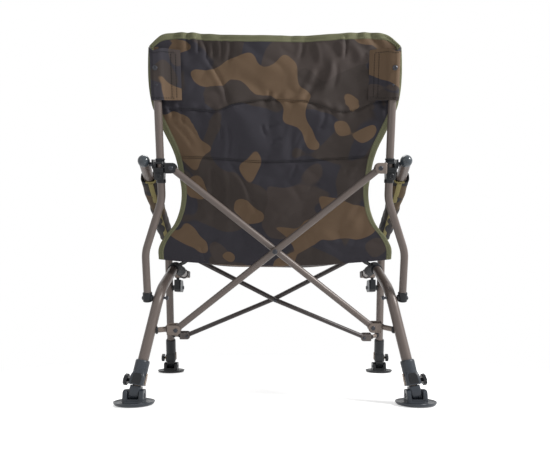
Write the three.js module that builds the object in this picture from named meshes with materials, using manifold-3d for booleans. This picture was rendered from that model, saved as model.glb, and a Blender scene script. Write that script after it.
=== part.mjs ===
// A low folding armchair for the bank: two bent-tube side frames, joined by a crossed pair of
// tubes at the back and another under the seat, with a cloth sling and four adjustable feet.
// Millimetres, +Z up. The sitter faces +Y, and the sitter's right hand is at +X.
import * as THREE from "three";
import { mergeVertices } from "three/addons/utils/BufferGeometryUtils.js";
import Module from "manifold-3d";

const wasm = await Module();
wasm.setup();

// Clearances
const seatGap = 0.3;
const runningGap = 0.5;
const cutOverrun = 5;

// Tubes
const legRadius = 12.5;
const legBore = 10.4;
const innerLegRadius = 10;
const postRadius = 9;
const braceRadius = 8;
const kneeBendRadius = 70;
const railBendRadius = 160;
const armBendRadius = 85;
const postBendRadius = 90;
const boltSides = 8;
const tubeSides = 12;
const roundSides = 16;
const bendStep = 12;
const boltLimit = 7;
const bluntLimit = 0.008;

// The two sizes that the rest follows: half the space between the posts, and the height of the
// front pair's tips, which carry the front of the seat
const postHalfSpan = 265;
const frontTipHeight = 429.6;

// Rear leg and seat rail, one tube
const rearAnkle = { x: postHalfSpan + 60, y: -318, z: 8 };
const rearKnee = { x: postHalfSpan + 15, y: -278, z: 251 };
const railEnd = { x: postHalfSpan + 39, y: 176, z: frontTipHeight - 103.6 };
const railCrestRise = 41.5;
const railCrest = { x: postHalfSpan + 19, y: -80, z: (rearKnee.z + railEnd.z) / 2 + railCrestRise };

// Front leg and arm, one tube
const frontAnkle = { x: postHalfSpan + 105, y: 321, z: 8 };
const frontLean = 19.1;
const armFront = { x: postHalfSpan + 94, z: 432 };
const armRear = { x: postHalfSpan + 39, y: -372, z: 548 };

// Back posts and the plane of the back
const backLean = 17;
const backFoot = { y: -280, z: 235 };
const postTop = 565;
const postSplayTop = 238;
const postSplayBase = 112;
const postFootHalfSpan = postHalfSpan + 45;
const postFootDrop = 8;

// Rear pair of crossed tubes, in the plane of the back
const rearPivotHalfSpan = postHalfSpan - 27;
const rearPivotDrop = 72;
const rearCrossHeight = 119;
const rearSetBack = 16;
const braceSpread = 8.3;
const braceEnd = 6;

// Front pair of crossed tubes, in the plane of the front legs
const frontPivotHalfSpan = postHalfSpan + 43;
const frontPivotHeight = 120;
const frontCrossHeight = 254.6;
const frontTipHalfSpan = postHalfSpan + 60;
const frontSetBack = 14;

// Pivots and their brackets
const boltRadius = 3;
const boltHeadRadius = 5.5;
const boltHeadHeight = 3;
const plateThickness = 2.5;
const plateHalfHeight = 12;
const webThickness = 2.8;
const rearReach = 20;
const frontReach = 23;
const slotTravel = 10;
const stubRadius = 6.5;
const flangeRadius = 9.5;
const flangeThickness = 4;
const crossHeadRadius = 6;

// Sliding knuckle on each back post
const knuckleHeight = 304;
const knuckleHalfHeight = 28;
const knuckleHalfDepth = 17;
const knuckleWall = 2;
const knuckleHalfWidth = 13.2;
const knuckleCorner = 5;
const knuckleRingRadius = 14;
const knuckleRingHeight = 7;
const knuckleGrip = 10;
const hookThickness = 4;
const hookHalfSlot = 4;
const hookFinger = 5;
const hookHalfHeight = 11;
const hookSpan = 26;
const pegRadius = 3.4;
const pegFlangeRadius = 5.5;
const pegForward = 16;
const pegHeight = 318.7;

// End fittings
const ballRadius = 14;
const ballShank = 6;
const postCapWall = 2;
const postCapHeight = 22;
const postPinHeight = -1;
const tipCapRadius = 11;
const tipCapLength = 26;

// Adjustable foot, measured along the leg from the ankle
const innerLegLength = 165;
const eyeRadius = 10;
const eyeHalfWidth = 13;
const ankleBoltRadius = 3.5;
const collarBase = 24;
const collarBlockTop = 56;
const collarTop = 82;
const frontCollarTop = 102;
const collarRadius = 16.7;
const collarHalfWidth = 17;
const collarHalfDepth = 18;
const collarCorner = 6;
const legStart = 40;
const clipHalfWidth = 5;
const clipThickness = 1.6;
const clipMargin = 3;
const knobHeight = 32;
const knobRadius = 13.5;
const knobThickness = 9;
const knobEdge = 1.5;
const knobLobes = 8;
const knobLobeShare = 0.07;
const knobNeckRadius = 4;
const knobStandOff = 6;
const washerRadius = 6.5;
const washerThickness = 1.6;

// Round foot plate with its boot
const discRadius = 47;
const discRise = 9;
const discDrop = 21;
const discProfileShares = [
  [0, 0],
  [0.81, 0],
  [0.92, 0.16],
  [0.985, 0.55],
  [1, 0.95],
  [0.975, 1],
  [0.92, 0.86],
  [0.85, 0.72],
  [0, 0.72],
];
const discSides = 30;
const bootHalfWidth = 24.5;
const bootHalfDepth = 19;
const bootTop = 12;
const bootCorner = 8;
const bootEdge = 2;
const bootSlotHalfWidth = 14;

// Link between the seat rail and the front leg
const linkBar = { inner: postHalfSpan + 24, outer: postHalfSpan + 71, halfHeight: 11.5, depth: 23 };
const linkSocketRadius = 15.5;
const linkSocketLength = 22;
const linkBlock = {
  inner: postHalfSpan + 52,
  outer: postHalfSpan + 73,
  top: railEnd.z - 18,
  bottom: railEnd.z - 58,
  ahead: 12.4,
};
const linkBoltHeight = railEnd.z - 43;
const linkPinRadius = 5;
const linkPinLength = 14;

// Cloth
const clothThickness = 8;
const backTopHeight = 600;
const backBaseHeight = 58;
const backWidthShares = [
  1.132, 1.121, 1.057, 0.958, 0.9, 0.868, 0.857, 0.868, 0.879, 0.909, 0.96, 1.011, 1.055, 1.075, 1.081, 1.077, 1.068,
];
const backTopShares = [1, 1, 1, 1.001, 1.003, 1.006, 1.01, 1.0145, 1.018, 1.013, 0.967];
const backSlope = 0.2246;
const backBreak = 440;
const backBreakRound = 20;
const backHollow = 14;
const backCornerRise = 18;
const backColumns = 16;
const backRows = 14;
const foldHeight = 2.4;
const foldCount = 3.5;
const foldSweep = 0.9;
const seatLap = 9;
const seatFrontHalfWidth = postHalfSpan + 53;
const seatFrontAhead = 14.6;
const seatFrontRise = 13.6;
const seatFrontSag = 12;
const seatFrontHollow = 8;
const seatSag = 30;
const seatColumns = 16;
const seatRows = 12;

// Pockets over the tops of the posts
const pocketBase = 461;
const pocketTop = 571;
const pocketFlapWidth = 53;
const pocketWrapWidth = 11.5;
const pocketHalfDepth = 12;
const pocketOutlineShares = [
  [1.05, -0.5],
  [1.05, 0.5],
  [0.8, 1],
  [0, 1],
  [-0.3, 1],
  [-0.65, 1],
  [-1, 1],
  [-1, 0.72],
  [-0.8, 0.5],
  [-0.55, 0.25],
  [-0.35, -0.25],
  [-0.2, -0.8],
  [0, -1],
  [0.4, -1.05],
  [0.8, -0.9],
];
const pocketPuffShares = [0.95, 1.04, 1, 1.05, 0.97];
const pocketScrewHeight = 528;
const pocketScrewRadius = 2;
const pocketScrewHead = 4.5;

// Sleeve on the seat rail and its strap
const sleeveRadius = 16.5;
const sleeveRear = -118;
const sleeveFront = 70;
const strapThickness = 4;
const strapHalfWidth = 24;
const strapCentre = -40;

// Padded sleeve on the arm
const armSleeveHalfWidth = 22;
const armSleeveHalfHeight = 17;
const armSleeveFromRear = 84;
const armSleeveLength = 408;
const armSleeveSquareness = 0.42;
const armSleeveSides = 20;
const armPuffShares = [0.86, 0.98, 1.02, 1, 1.04, 1.01, 1.04, 0.99, 0.86];

// Materials
const tubePaint = new THREE.MeshStandardMaterial({ color: 0x6d625d, roughness: 0.45, metalness: 0.5 });
const blackPlastic = new THREE.MeshStandardMaterial({ color: 0x3c4146, roughness: 0.55, metalness: 0 });
const bracketPaint = new THREE.MeshStandardMaterial({ color: 0x73675f, roughness: 0.5, metalness: 0.5 });
const boltSteel = new THREE.MeshStandardMaterial({ color: 0x8a8a8c, roughness: 0.4, metalness: 0.8 });
const clothPrint = new THREE.MeshStandardMaterial({ color: 0x40383a, roughness: 0.85, metalness: 0 });
const blackWebbing = new THREE.MeshStandardMaterial({ color: 0x1c1c1e, roughness: 0.9, metalness: 0 });

const radians = THREE.MathUtils.degToRad;
const at = (x, y, z) => new THREE.Vector3(x, y, z);
const point = (p, side) => at(side * p.x, p.y, p.z);
const sideName = (side) => (side > 0 ? "right" : "left");
const beyond = (from, to, length) => to.clone().addScaledVector(to.clone().sub(from).normalize(), length);

// A path of straight runs and round bends, with a ring only where the shape needs one
class BentPath extends THREE.Curve {
  constructor(corners, radii) {
    super();
    this.stations = [];
    this.tangents = [];
    const add = (p, t) => {
      this.stations.push(p);
      this.tangents.push(t.clone().normalize());
    };
    const last = corners.length - 1;
    add(corners[0].clone(), corners[1].clone().sub(corners[0]));
    for (let i = 1; i < last; i++) {
      const into = corners[i].clone().sub(corners[i - 1]).normalize();
      const out = corners[i + 1].clone().sub(corners[i]).normalize();
      const turn = into.angleTo(out);
      const start = corners[i].clone().addScaledVector(into, -radii[i - 1] * Math.tan(turn / 2));
      const axis = into.clone().cross(out).normalize();
      const centre = start.clone().addScaledVector(axis.clone().cross(into), radii[i - 1]);
      const arm = start.clone().sub(centre);
      const steps = Math.ceil(turn / radians(bendStep));
      for (let k = 0; k <= steps; k++) {
        const angle = (turn * k) / steps;
        const place = centre.clone().add(arm.clone().applyAxisAngle(axis, angle));
        add(place, into.clone().applyAxisAngle(axis, angle));
      }
    }
    add(corners[last].clone(), corners[last].clone().sub(corners[last - 1]));
  }
  get steps() {
    return this.stations.length - 1;
  }
  getPoint(t) {
    const i = Math.min(Math.floor(t * this.steps + 1e-6), this.steps - 1);
    return this.stations[i].clone().lerp(this.stations[i + 1], t * this.steps - i);
  }
  getPointAt(t) {
    return this.getPoint(t);
  }
  getTangentAt(t) {
    return this.tangents[Math.round(t * this.steps)].clone();
  }
}

// From a closed mesh to a solid that can be cut and joined, and back
function solid(geometry) {
  const bare = geometry.clone();
  bare.deleteAttribute("normal");
  bare.deleteAttribute("uv");
  const merged = mergeVertices(bare, 1e-4);
  return new wasm.Manifold(
    new wasm.Mesh({
      numProp: 3,
      vertProperties: new Float32Array(merged.attributes.position.array),
      triVerts: new Uint32Array(merged.index.array),
    }),
  );
}

function shell(body) {
  const mesh = body.asOriginal().simplify(bluntLimit).getMesh();
  const geometry = new THREE.BufferGeometry();
  geometry.setAttribute("position", new THREE.BufferAttribute(new Float32Array(mesh.vertProperties), 3));
  geometry.setIndex(new THREE.BufferAttribute(new Uint32Array(mesh.triVerts), 1));
  geometry.computeVertexNormals();
  return geometry;
}

// Basic pieces
function circle(radius, sides) {
  const shape = new THREE.Shape();
  for (let i = 0; i < sides; i++) {
    const a = (2 * Math.PI * (i + 0.5)) / sides;
    if (i) shape.lineTo(radius * Math.cos(a), radius * Math.sin(a));
    else shape.moveTo(radius * Math.cos(a), radius * Math.sin(a));
  }
  shape.closePath();
  return shape;
}

function roundedOutline(halfWidth, halfHeight, corner) {
  const shape = new THREE.Shape();
  const w = halfWidth - corner;
  const h = halfHeight - corner;
  shape.absarc(w, h, corner, 0, Math.PI / 2);
  shape.absarc(-w, h, corner, Math.PI / 2, Math.PI);
  shape.absarc(-w, -h, corner, Math.PI, 1.5 * Math.PI);
  shape.absarc(w, -h, corner, 1.5 * Math.PI, 2 * Math.PI);
  shape.closePath();
  return shape;
}

// A rounded upright block; an edge above zero rounds its top and bottom rims
function post(shape, low, high, edge) {
  const settings = {
    depth: high - low - 2 * edge,
    curveSegments: 2,
    bevelEnabled: edge > 0,
    bevelSize: edge,
    bevelOffset: -edge,
    bevelThickness: edge,
    bevelSegments: 1,
  };
  return new THREE.ExtrudeGeometry(shape, settings).translate(0, 0, low + edge);
}

function tube(path, radius) {
  return new THREE.ExtrudeGeometry(circle(radius, tubeSides), { steps: path.steps, extrudePath: path });
}

function rod(from, to, radius, sides = radius < boltLimit ? boltSides : tubeSides) {
  const geometry = new THREE.CylinderGeometry(radius, radius, from.distanceTo(to), sides);
  const aim = to.clone().sub(from).normalize();
  geometry.applyQuaternion(new THREE.Quaternion().setFromUnitVectors(at(0, 1, 0), aim));
  const middle = from.clone().lerp(to, 0.5);
  return geometry.translate(middle.x, middle.y, middle.z);
}

function block(a, b) {
  const middle = a.clone().lerp(b, 0.5);
  const size = [Math.abs(b.x - a.x), Math.abs(b.y - a.y), Math.abs(b.z - a.z)];
  return new THREE.BoxGeometry(...size).translate(middle.x, middle.y, middle.z);
}

function indexed(points, index) {
  const geometry = new THREE.BufferGeometry().setFromPoints(points);
  geometry.setIndex(index);
  geometry.computeVertexNormals();
  return geometry;
}

// A closed body through rings of points, each end closed about a given middle
function loft(rings, firstMiddle, lastMiddle) {
  const count = rings[0].length;
  const points = [firstMiddle, ...rings.flat(), lastMiddle];
  const id = (k, i) => 1 + k * count + (i % count);
  const top = rings.length - 1;
  const index = [];
  for (let i = 0; i < count; i++) {
    index.push(0, id(0, i + 1), id(0, i));
    index.push(id(top, i), id(top, i + 1), points.length - 1);
    for (let k = 0; k < top; k++) {
      index.push(id(k, i), id(k, i + 1), id(k + 1, i + 1));
      index.push(id(k, i), id(k + 1, i + 1), id(k + 1, i));
    }
  }
  return indexed(points, index);
}

// Cloth of even thickness about a surface: u runs from -1 to 1 across it, w from 0 to 1 along it
function sheet(place, thickness, columns, rows) {
  const step = 1e-3;
  const points = [];
  for (const face of [1, -1]) {
    for (let j = 0; j <= rows; j++) {
      for (let i = 0; i <= columns; i++) {
        const u = (2 * i) / columns - 1;
        const w = j / rows;
        const across = place(u + step, w).sub(place(u - step, w));
        const along = place(u, w + step).sub(place(u, w - step));
        const normal = across.cross(along).normalize();
        points.push(place(u, w).addScaledVector(normal, (face * thickness) / 2));
      }
    }
  }
  const under = (rows + 1) * (columns + 1);
  const id = (i, j) => j * (columns + 1) + i;
  const index = [];
  for (let j = 0; j < rows; j++) {
    for (let i = 0; i < columns; i++) {
      const [a, b, c, d] = [id(i, j), id(i + 1, j), id(i + 1, j + 1), id(i, j + 1)];
      index.push(a, b, c, a, c, d);
      index.push(under + a, under + c, under + b, under + a, under + d, under + c);
    }
  }
  const border = [];
  for (let i = 0; i < columns; i++) border.push(id(i, 0));
  for (let j = 0; j < rows; j++) border.push(id(columns, j));
  for (let i = columns; i > 0; i--) border.push(id(i, rows));
  for (let j = rows; j > 0; j--) border.push(id(0, j));
  border.forEach((p, k) => {
    const q = border[(k + 1) % border.length];
    index.push(under + p, under + q, q, under + p, q, p);
  });
  return indexed(points, index);
}

function named(name, body, material) {
  const geometry = body.isBufferGeometry ? body : shell(body);
  const mesh = new THREE.Mesh(geometry, material.clone());
  mesh.name = name;
  return mesh;
}

const chair = new THREE.Group();

function tiltedFrame(y, z, lean) {
  const frame = new THREE.Group();
  frame.position.set(0, y, z);
  frame.rotation.x = radians(lean);
  frame.updateMatrix();
  chair.add(frame);
  return frame;
}

// Across, forward through the back and up the posts; across, forward and up the front legs
const backFrame = tiltedFrame(backFoot.y, backFoot.z, backLean);
const frontFrame = tiltedFrame(frontAnkle.y, frontAnkle.z, frontLean);
const toBack = backFrame.matrix.clone().invert();
const toFront = frontFrame.matrix.clone().invert();
const legSocket = legRadius + seatGap;

// Rear leg and seat rail
const rearAxis = (side) => point(rearKnee, side).sub(point(rearAnkle, side)).normalize();

function rearPath(side) {
  const start = point(rearAnkle, side).addScaledVector(rearAxis(side), legStart);
  const corners = [start, point(rearKnee, side), point(railCrest, side), point(railEnd, side)];
  return new BentPath(corners, [kneeBendRadius, railBendRadius]);
}

// Front leg and arm
function armBendPoint(side) {
  const fall = (armFront.z - frontAnkle.z) * Math.tan(radians(frontLean));
  return at(side * armFront.x, frontAnkle.y - fall, armFront.z);
}

const frontAxis = (side) => armBendPoint(side).sub(point(frontAnkle, side)).normalize();

function frontPath(side) {
  const start = point(frontAnkle, side).addScaledVector(frontAxis(side), legStart);
  return new BentPath([start, armBendPoint(side), point(armRear, side)], [armBendRadius]);
}

const sides = [1, -1];
const rearPaths = new Map(sides.map((side) => [side, rearPath(side)]));
const frontPaths = new Map(sides.map((side) => [side, frontPath(side)]));
const socketIn = (path, frame) => {
  const geometry = tube(path, legSocket);
  return solid(frame ? geometry.applyMatrix4(frame) : geometry);
};

// The lower end of each leg is bored for its inner leg
function boredLeg(path) {
  const [start, axis] = [path.stations[0], path.tangents[0]];
  const depth = innerLegLength + cutOverrun - legStart;
  const bore = rod(start.clone().addScaledVector(axis, -cutOverrun), start.clone().addScaledVector(axis, depth), legBore);
  return solid(tube(path, legRadius)).subtract(solid(bore));
}

// Where a leg crosses a height of one of the tilted frames
function legAt(path, frame, height) {
  const [a, b] = [path.stations[0], path.stations[1]].map((p) => p.clone().applyMatrix4(frame));
  return a.lerp(b, (height - a.z) / (b.z - a.z));
}

// A back post, and the cap that pins its foot to the rear leg
const postCapRadius = postRadius + seatGap + postCapWall;
const postPath = (side) =>
  new BentPath(
    [
      at(side * postFootHalfSpan, 0, -postFootDrop),
      at(side * postFootHalfSpan, 0, postSplayBase),
      at(side * postHalfSpan, 0, postSplayTop),
      at(side * postHalfSpan, 0, postTop),
    ],
    [postBendRadius, postBendRadius],
  );

function pinRod(side, radius, from, to) {
  return solid(rod(at(side * from, 0, postPinHeight), at(side * to, 0, postPinHeight), radius));
}

const pinInner = postFootHalfSpan - 2 * postCapRadius - 2 * legRadius;
const pinOuter = postFootHalfSpan + postCapRadius + boltHeadHeight;

function backPost(side) {
  return solid(tube(postPath(side), postRadius)).subtract(
    pinRod(side, boltRadius + seatGap, pinInner, pinOuter + cutOverrun),
  );
}

function postCap(side) {
  const foot = -postFootDrop - seatGap;
  const x = side * postFootHalfSpan;
  const outside = rod(at(x, 0, foot - postCapWall), at(x, 0, postCapHeight - postFootDrop), postCapRadius, roundSides);
  const hollow = rod(at(x, 0, foot), at(x, 0, postCapHeight + cutOverrun), postRadius + seatGap, roundSides);
  const boss = pinRod(side, flangeRadius - flangeThickness / 2, pinInner + 2 * legRadius, postFootHalfSpan - postRadius - seatGap);
  const cut = socketIn(rearPaths.get(side), toBack);
  return solid(outside)
    .add(boss.subtract(cut))
    .subtract(solid(hollow))
    .add(pinRod(side, boltRadius, pinInner, pinOuter - boltHeadHeight / 2))
    .add(pinRod(side, boltHeadRadius, pinOuter - boltHeadHeight - cutOverrun / 10, pinOuter))
    .add(pinRod(side, boltHeadRadius, pinInner - boltHeadHeight, pinInner));
}

// Two plates, a web and a bolt that hold the end of a crossed tube
const plateInner = braceRadius + runningGap;
const plateOuter = plateInner + plateThickness;

function clevis(side, pivot, reach, slotted, webFront) {
  const box = (x1, x2, y1, y2, z) => solid(block(at(side * x1, y1, -z), at(side * x2, y2, z)));
  const across = (y1, y2, x, radius) => solid(rod(at(side * x, y1, 0), at(side * x, y2, 0), radius));
  const back = reach + webThickness;
  let body = box(reach, back, -plateOuter, Math.max(plateOuter, webFront), plateHalfHeight);
  for (const [low, high] of [[-plateOuter, -plateInner], [plateInner, plateOuter]]) {
    body = body.add(box(0, back, low, high, plateHalfHeight)).add(across(low, high, 0, plateHalfHeight));
  }
  if (slotted) {
    const radius = boltRadius + runningGap;
    const reachOut = plateOuter + cutOverrun;
    body = body
      .subtract(across(-reachOut, reachOut, 0, radius))
      .subtract(across(-reachOut, reachOut, slotTravel, radius))
      .subtract(box(0, slotTravel, -reachOut, reachOut, radius));
  } else {
    const head = plateOuter + boltHeadHeight;
    body = body
      .add(across(-plateOuter, plateOuter, 0, boltRadius))
      .add(across(-head, -plateInner, 0, boltHeadRadius))
      .add(across(plateInner, head, 0, boltHeadRadius));
  }
  return body.translate([pivot.x, pivot.y, pivot.z]);
}

// The clevis of a lower pivot stands off its leg on a short stub
function legBracket(side, pivot, path, toFrame, reach, slotted) {
  const web = at(pivot.x + side * (reach + webThickness / 2), pivot.y, pivot.z);
  const leg = legAt(path, toFrame, pivot.z);
  const flangeStart = beyond(leg, leg.clone(), 0);
  flangeStart.add(web.clone().sub(leg).normalize().multiplyScalar(legRadius + flangeThickness));
  const stub = solid(rod(web, leg, stubRadius)).add(solid(rod(flangeStart, leg, flangeRadius)));
  return clevis(side, pivot, reach, slotted, 0).add(stub.subtract(socketIn(path, toFrame)));
}

// Crossed tubes
const rearTopHeight = 2 * rearCrossHeight + rearPivotDrop;
const rearNear = -rearSetBack - braceSpread;
const rearFar = -rearSetBack + braceSpread;
const frontNear = -frontSetBack - braceSpread;
const frontFar = -frontSetBack + braceSpread;
const headReach = plateOuter + runningGap;

function drilled(path, holes) {
  const reach = braceRadius + cutOverrun;
  const bar = solid(tube(path, braceRadius));
  return holes.reduce((body, h) => {
    const hole = rod(at(h.x, h.y - reach, h.z), at(h.x, h.y + reach, h.z), boltRadius + seatGap);
    return body.subtract(solid(hole));
  }, bar);
}

// Side 1 runs from lower left to upper right, side -1 from lower right to upper left
function rearBrace(side, y) {
  const low = at(-side * rearPivotHalfSpan, y, -rearPivotDrop);
  const high = at(side * rearPivotHalfSpan, y, rearTopHeight);
  const path = new BentPath([beyond(high, low, braceEnd), beyond(low, high, braceEnd)], []);
  return drilled(path, [low, at(0, y, rearCrossHeight), high]);
}

function frontEnds(side, y) {
  const low = at(-side * frontPivotHalfSpan, y, frontPivotHeight);
  const cross = at(0, y, frontCrossHeight);
  return [low, cross, at(side * frontTipHalfSpan, y, frontTipHeight)];
}

function frontBrace(side, y, ownBolt) {
  const [low, cross, tip] = frontEnds(side, y);
  const path = new BentPath([beyond(cross, low, braceEnd), cross, tip], [kneeBendRadius]);
  if (!ownBolt) return drilled(path, [low, cross]);
  const along = (y1, y2, radius) => solid(rod(at(low.x, y + y1, low.z), at(low.x, y + y2, low.z), radius));
  const head = headReach + boltHeadHeight;
  return drilled(path, [cross])
    .add(along(-headReach, headReach, boltRadius))
    .add(along(-head, -headReach, boltHeadRadius))
    .add(along(headReach, head, boltHeadRadius));
}

function crossBolt(rearmost, foremost, z) {
  const from = rearmost - braceRadius - seatGap;
  const to = foremost + braceRadius + seatGap;
  const along = (y1, y2, radius) => solid(rod(at(0, y1, z), at(0, y2, z), radius));
  return along(from, to, boltRadius)
    .add(along(from - boltHeadHeight, from, crossHeadRadius))
    .add(along(to, to + boltHeadHeight, crossHeadRadius));
}

// The rounded cap on the top end of a front crossed tube; a margin swells it for cutting
function tipCapBody(side, y, margin) {
  const [, cross, tip] = frontEnds(side, y);
  const rim = beyond(cross, tip, -tipCapLength / 2 - margin);
  const shoulder = beyond(cross, tip, tipCapRadius / 2 + margin);
  const outside = solid(rod(rim, shoulder, tipCapRadius + margin, roundSides));
  const dome = new THREE.SphereGeometry(tipCapRadius + margin, roundSides, roundSides / 2);
  const middle = beyond(cross, tip, tipCapRadius / 4);
  return outside.add(solid(dome.translate(middle.x, middle.y, middle.z)));
}

function tipCap(side, y) {
  const [, cross, tip] = frontEnds(side, y);
  const hollow = rod(beyond(cross, tip, -tipCapLength), beyond(cross, tip, seatGap), braceRadius + seatGap);
  return tipCapBody(side, y, 0).subtract(solid(hollow));
}

// The knuckle slides on its post and carries the top end of a crossed tube
const knuckleInner = postHalfSpan - postRadius - seatGap - knuckleWall;
const knuckleOuter = knuckleInner + 2 * knuckleHalfWidth;
const hookOuter = knuckleOuter + seatGap + hookThickness;

function knuckle(side) {
  const core = knuckleHalfHeight - knuckleRingHeight;
  const outline = roundedOutline(knuckleHalfWidth, knuckleHalfDepth, knuckleCorner);
  const x = side * postHalfSpan;
  const middle = (side * (knuckleInner + knuckleOuter)) / 2;
  const body = post(outline, knuckleHeight - core, knuckleHeight + core, knuckleCorner / 3).translate(middle, 0, 0);
  const along = (half, radius) =>
    solid(rod(at(x, 0, knuckleHeight - half), at(x, 0, knuckleHeight + half), radius, roundSides));
  const screwAt = -knuckleHalfDepth - boltHeadHeight / 2;
  const screw = rod(at(middle, screwAt, knuckleHeight + core / 2), at(middle, screwAt + cutOverrun, knuckleHeight + core / 2), boltHeadRadius);
  const ring = Math.min(knuckleRingRadius, postHalfSpan - knuckleInner - seatGap);
  return solid(body)
    .add(along(knuckleHalfHeight, ring))
    .add(solid(screw))
    .subtract(along(knuckleHalfHeight + cutOverrun, postRadius + seatGap));
}

function upperClevis(side, y) {
  const pivot = at(side * rearPivotHalfSpan, y, rearTopHeight);
  const reach = knuckleInner - seatGap - webThickness - rearPivotHalfSpan;
  return clevis(side, pivot, reach, false, knuckleGrip - y);
}

function hook(side) {
  const [from, to] = [side * (knuckleOuter + seatGap), side * hookOuter];
  const front = pegForward + hookHalfSlot + hookFinger;
  const low = pegHeight - hookHalfHeight;
  const plate = block(at(from, front - hookSpan - hookHalfSlot, low), at(to, front, pegHeight + hookHalfHeight));
  const [cutFrom, cutTo] = [from - side * cutOverrun, to + side * cutOverrun];
  const slotRound = rod(at(cutFrom, pegForward, pegHeight), at(cutTo, pegForward, pegHeight), hookHalfSlot);
  const slot = block(
    at(cutFrom, pegForward - hookHalfSlot, low - cutOverrun),
    at(cutTo, pegForward + hookHalfSlot, pegHeight),
  );
  return solid(plate).subtract(solid(slotRound)).subtract(solid(slot));
}

// The peg on the arm that the hook drops over
function armPeg(side) {
  const path = frontPaths.get(side);
  const arm = [path.stations.at(-2), path.stations.at(-1)].map((p) => p.clone().applyMatrix4(toBack));
  const root = arm[0].lerp(arm[1], (pegForward - arm[0].y) / (arm[1].y - arm[0].y));
  const aim = at(root.x, pegForward, pegHeight);
  const tip = at(side * (hookOuter - hookThickness + seatGap), pegForward, pegHeight);
  const flange = at(side * (hookOuter + seatGap), pegForward, pegHeight);
  return solid(rod(tip, aim, pegRadius))
    .add(solid(rod(flange, aim, pegFlangeRadius)))
    .subtract(socketIn(path, toBack));
}

// The ball on the rear end of the arm
function armBall(side) {
  const path = frontPaths.get(side);
  const [from, end] = [path.stations.at(-2), path.stations.at(-1)];
  const start = beyond(from, end, -ballShank);
  const ball = new THREE.SphereGeometry(ballRadius, roundSides, roundSides / 2).translate(end.x, end.y, end.z);
  const hollow = rod(beyond(from, end, -ballShank - ballRadius), beyond(from, end, seatGap), legSocket, roundSides);
  return solid(rod(start, end, ballRadius, roundSides)).add(solid(ball)).subtract(solid(hollow));
}

// The link that ties the end of the seat rail to the front leg
const railReach = railEnd.y + seatGap;

function linkClevis(side) {
  const path = rearPaths.get(side);
  const [from, end] = [path.stations.at(-2), path.stations.at(-1)];
  const middle = railEnd.z;
  const bar = block(
    at(side * linkBar.inner, railReach, middle - linkBar.halfHeight),
    at(side * linkBar.outer, railReach + linkBar.depth, middle + linkBar.halfHeight),
  );
  const socket = rod(beyond(from, end, -linkSocketLength), beyond(from, end, seatGap + cutOverrun / 5), linkSocketRadius, roundSides);
  const hollow = rod(beyond(from, end, -linkSocketLength - cutOverrun), beyond(from, end, seatGap), legSocket, roundSides);
  return solid(bar).add(solid(socket)).subtract(solid(hollow)).subtract(linkPin(side, linkPinRadius + seatGap));
}

function linkPin(side, radius) {
  const x = (side * (linkBlock.inner + linkBlock.outer)) / 2;
  const y = railReach + linkBar.depth / 2;
  const base = linkBlock.top - cutOverrun;
  return solid(rod(at(x, y, base), at(x, y, base + linkPinLength + radius - linkPinRadius), radius));
}

function linkBody(side) {
  const path = frontPaths.get(side);
  const leg = path.stations[0].clone();
  leg.lerp(path.stations[1], (linkBoltHeight - leg.z) / (path.stations[1].z - leg.z));
  const body = block(
    at(side * linkBlock.inner, railReach, linkBlock.bottom),
    at(side * linkBlock.outer, leg.y + linkBlock.ahead, linkBlock.top),
  );
  const start = at(side * (linkBlock.outer - cutOverrun), leg.y, leg.z);
  const flange = at(leg.x - side * (legRadius + flangeThickness), leg.y, leg.z);
  const stub = solid(rod(start, leg, stubRadius)).add(solid(rod(flange, leg, flangeRadius)));
  return solid(body).add(stub.subtract(socketIn(path))).add(linkPin(side, linkPinRadius));
}

// Cloth surfaces, with tables of even steps read along a smooth curve
function tableCurve(shares) {
  const curve = new THREE.SplineCurve(shares.map((share, k) => new THREE.Vector2(k, share)));
  return (t) => curve.getPoint(Math.min(Math.max(t, 0), 1)).y;
}

const backWidthShare = tableCurve(backWidthShares);
const backTopShare = tableCurve(backTopShares);

const backRest = pocketHalfDepth + seatGap + clothThickness / 2;
const backPlane = (z) => {
  const s = backBreak - z;
  return backRest + (backSlope * (s + Math.hypot(s, backBreakRound))) / 2;
};

function backPlace(u, w) {
  const top = backTopHeight * backTopShare(Math.abs(u));
  const z = backBaseHeight + (top - backBaseHeight) * w + backCornerRise * u * u * (1 - w) ** 2;
  const body = 4 * w * (1 - w);
  const fold = foldHeight * Math.sin(2 * Math.PI * foldCount * (w + foldSweep * u * u * (0.5 - w))) * body;
  return at(u * postHalfSpan * backWidthShare(w), backPlane(z) - backHollow * (1 - u * u) * body + fold, z);
}

const frontTips = at(0, -frontSetBack, frontTipHeight).applyMatrix4(frontFrame.matrix);
const seatFront = { y: frontTips.y + seatFrontAhead, z: frontTips.z + seatFrontRise };

function seatPlace(u, w) {
  const lap = seatLap / (backTopHeight - backBaseHeight);
  const rear = backPlace(u, lap).applyMatrix4(backFrame.matrix);
  const hang = 1 - u * u;
  const front = at(u * seatFrontHalfWidth, seatFront.y - seatFrontHollow * hang, seatFront.z - seatFrontSag * hang);
  const middle = 4 * w * (1 - w);
  const fold = foldHeight * Math.sin(2 * Math.PI * foldCount * (w + foldSweep * (0.5 - w) * u * u)) * middle;
  const sag = seatSag * middle * (1 - u ** 4);
  return rear.lerp(front, w).add(at(0, 0, fold * hang - sag));
}

// A margin swells the back on every side, for cutting what rests against it
function backCloth(margin) {
  const swell = 1 + margin / rearPivotHalfSpan;
  const place = (u, w) => backPlace(u * swell, 0.5 + (w - 0.5) * swell);
  return solid(sheet(place, clothThickness + 2 * margin, backColumns, backRows));
}

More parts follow.
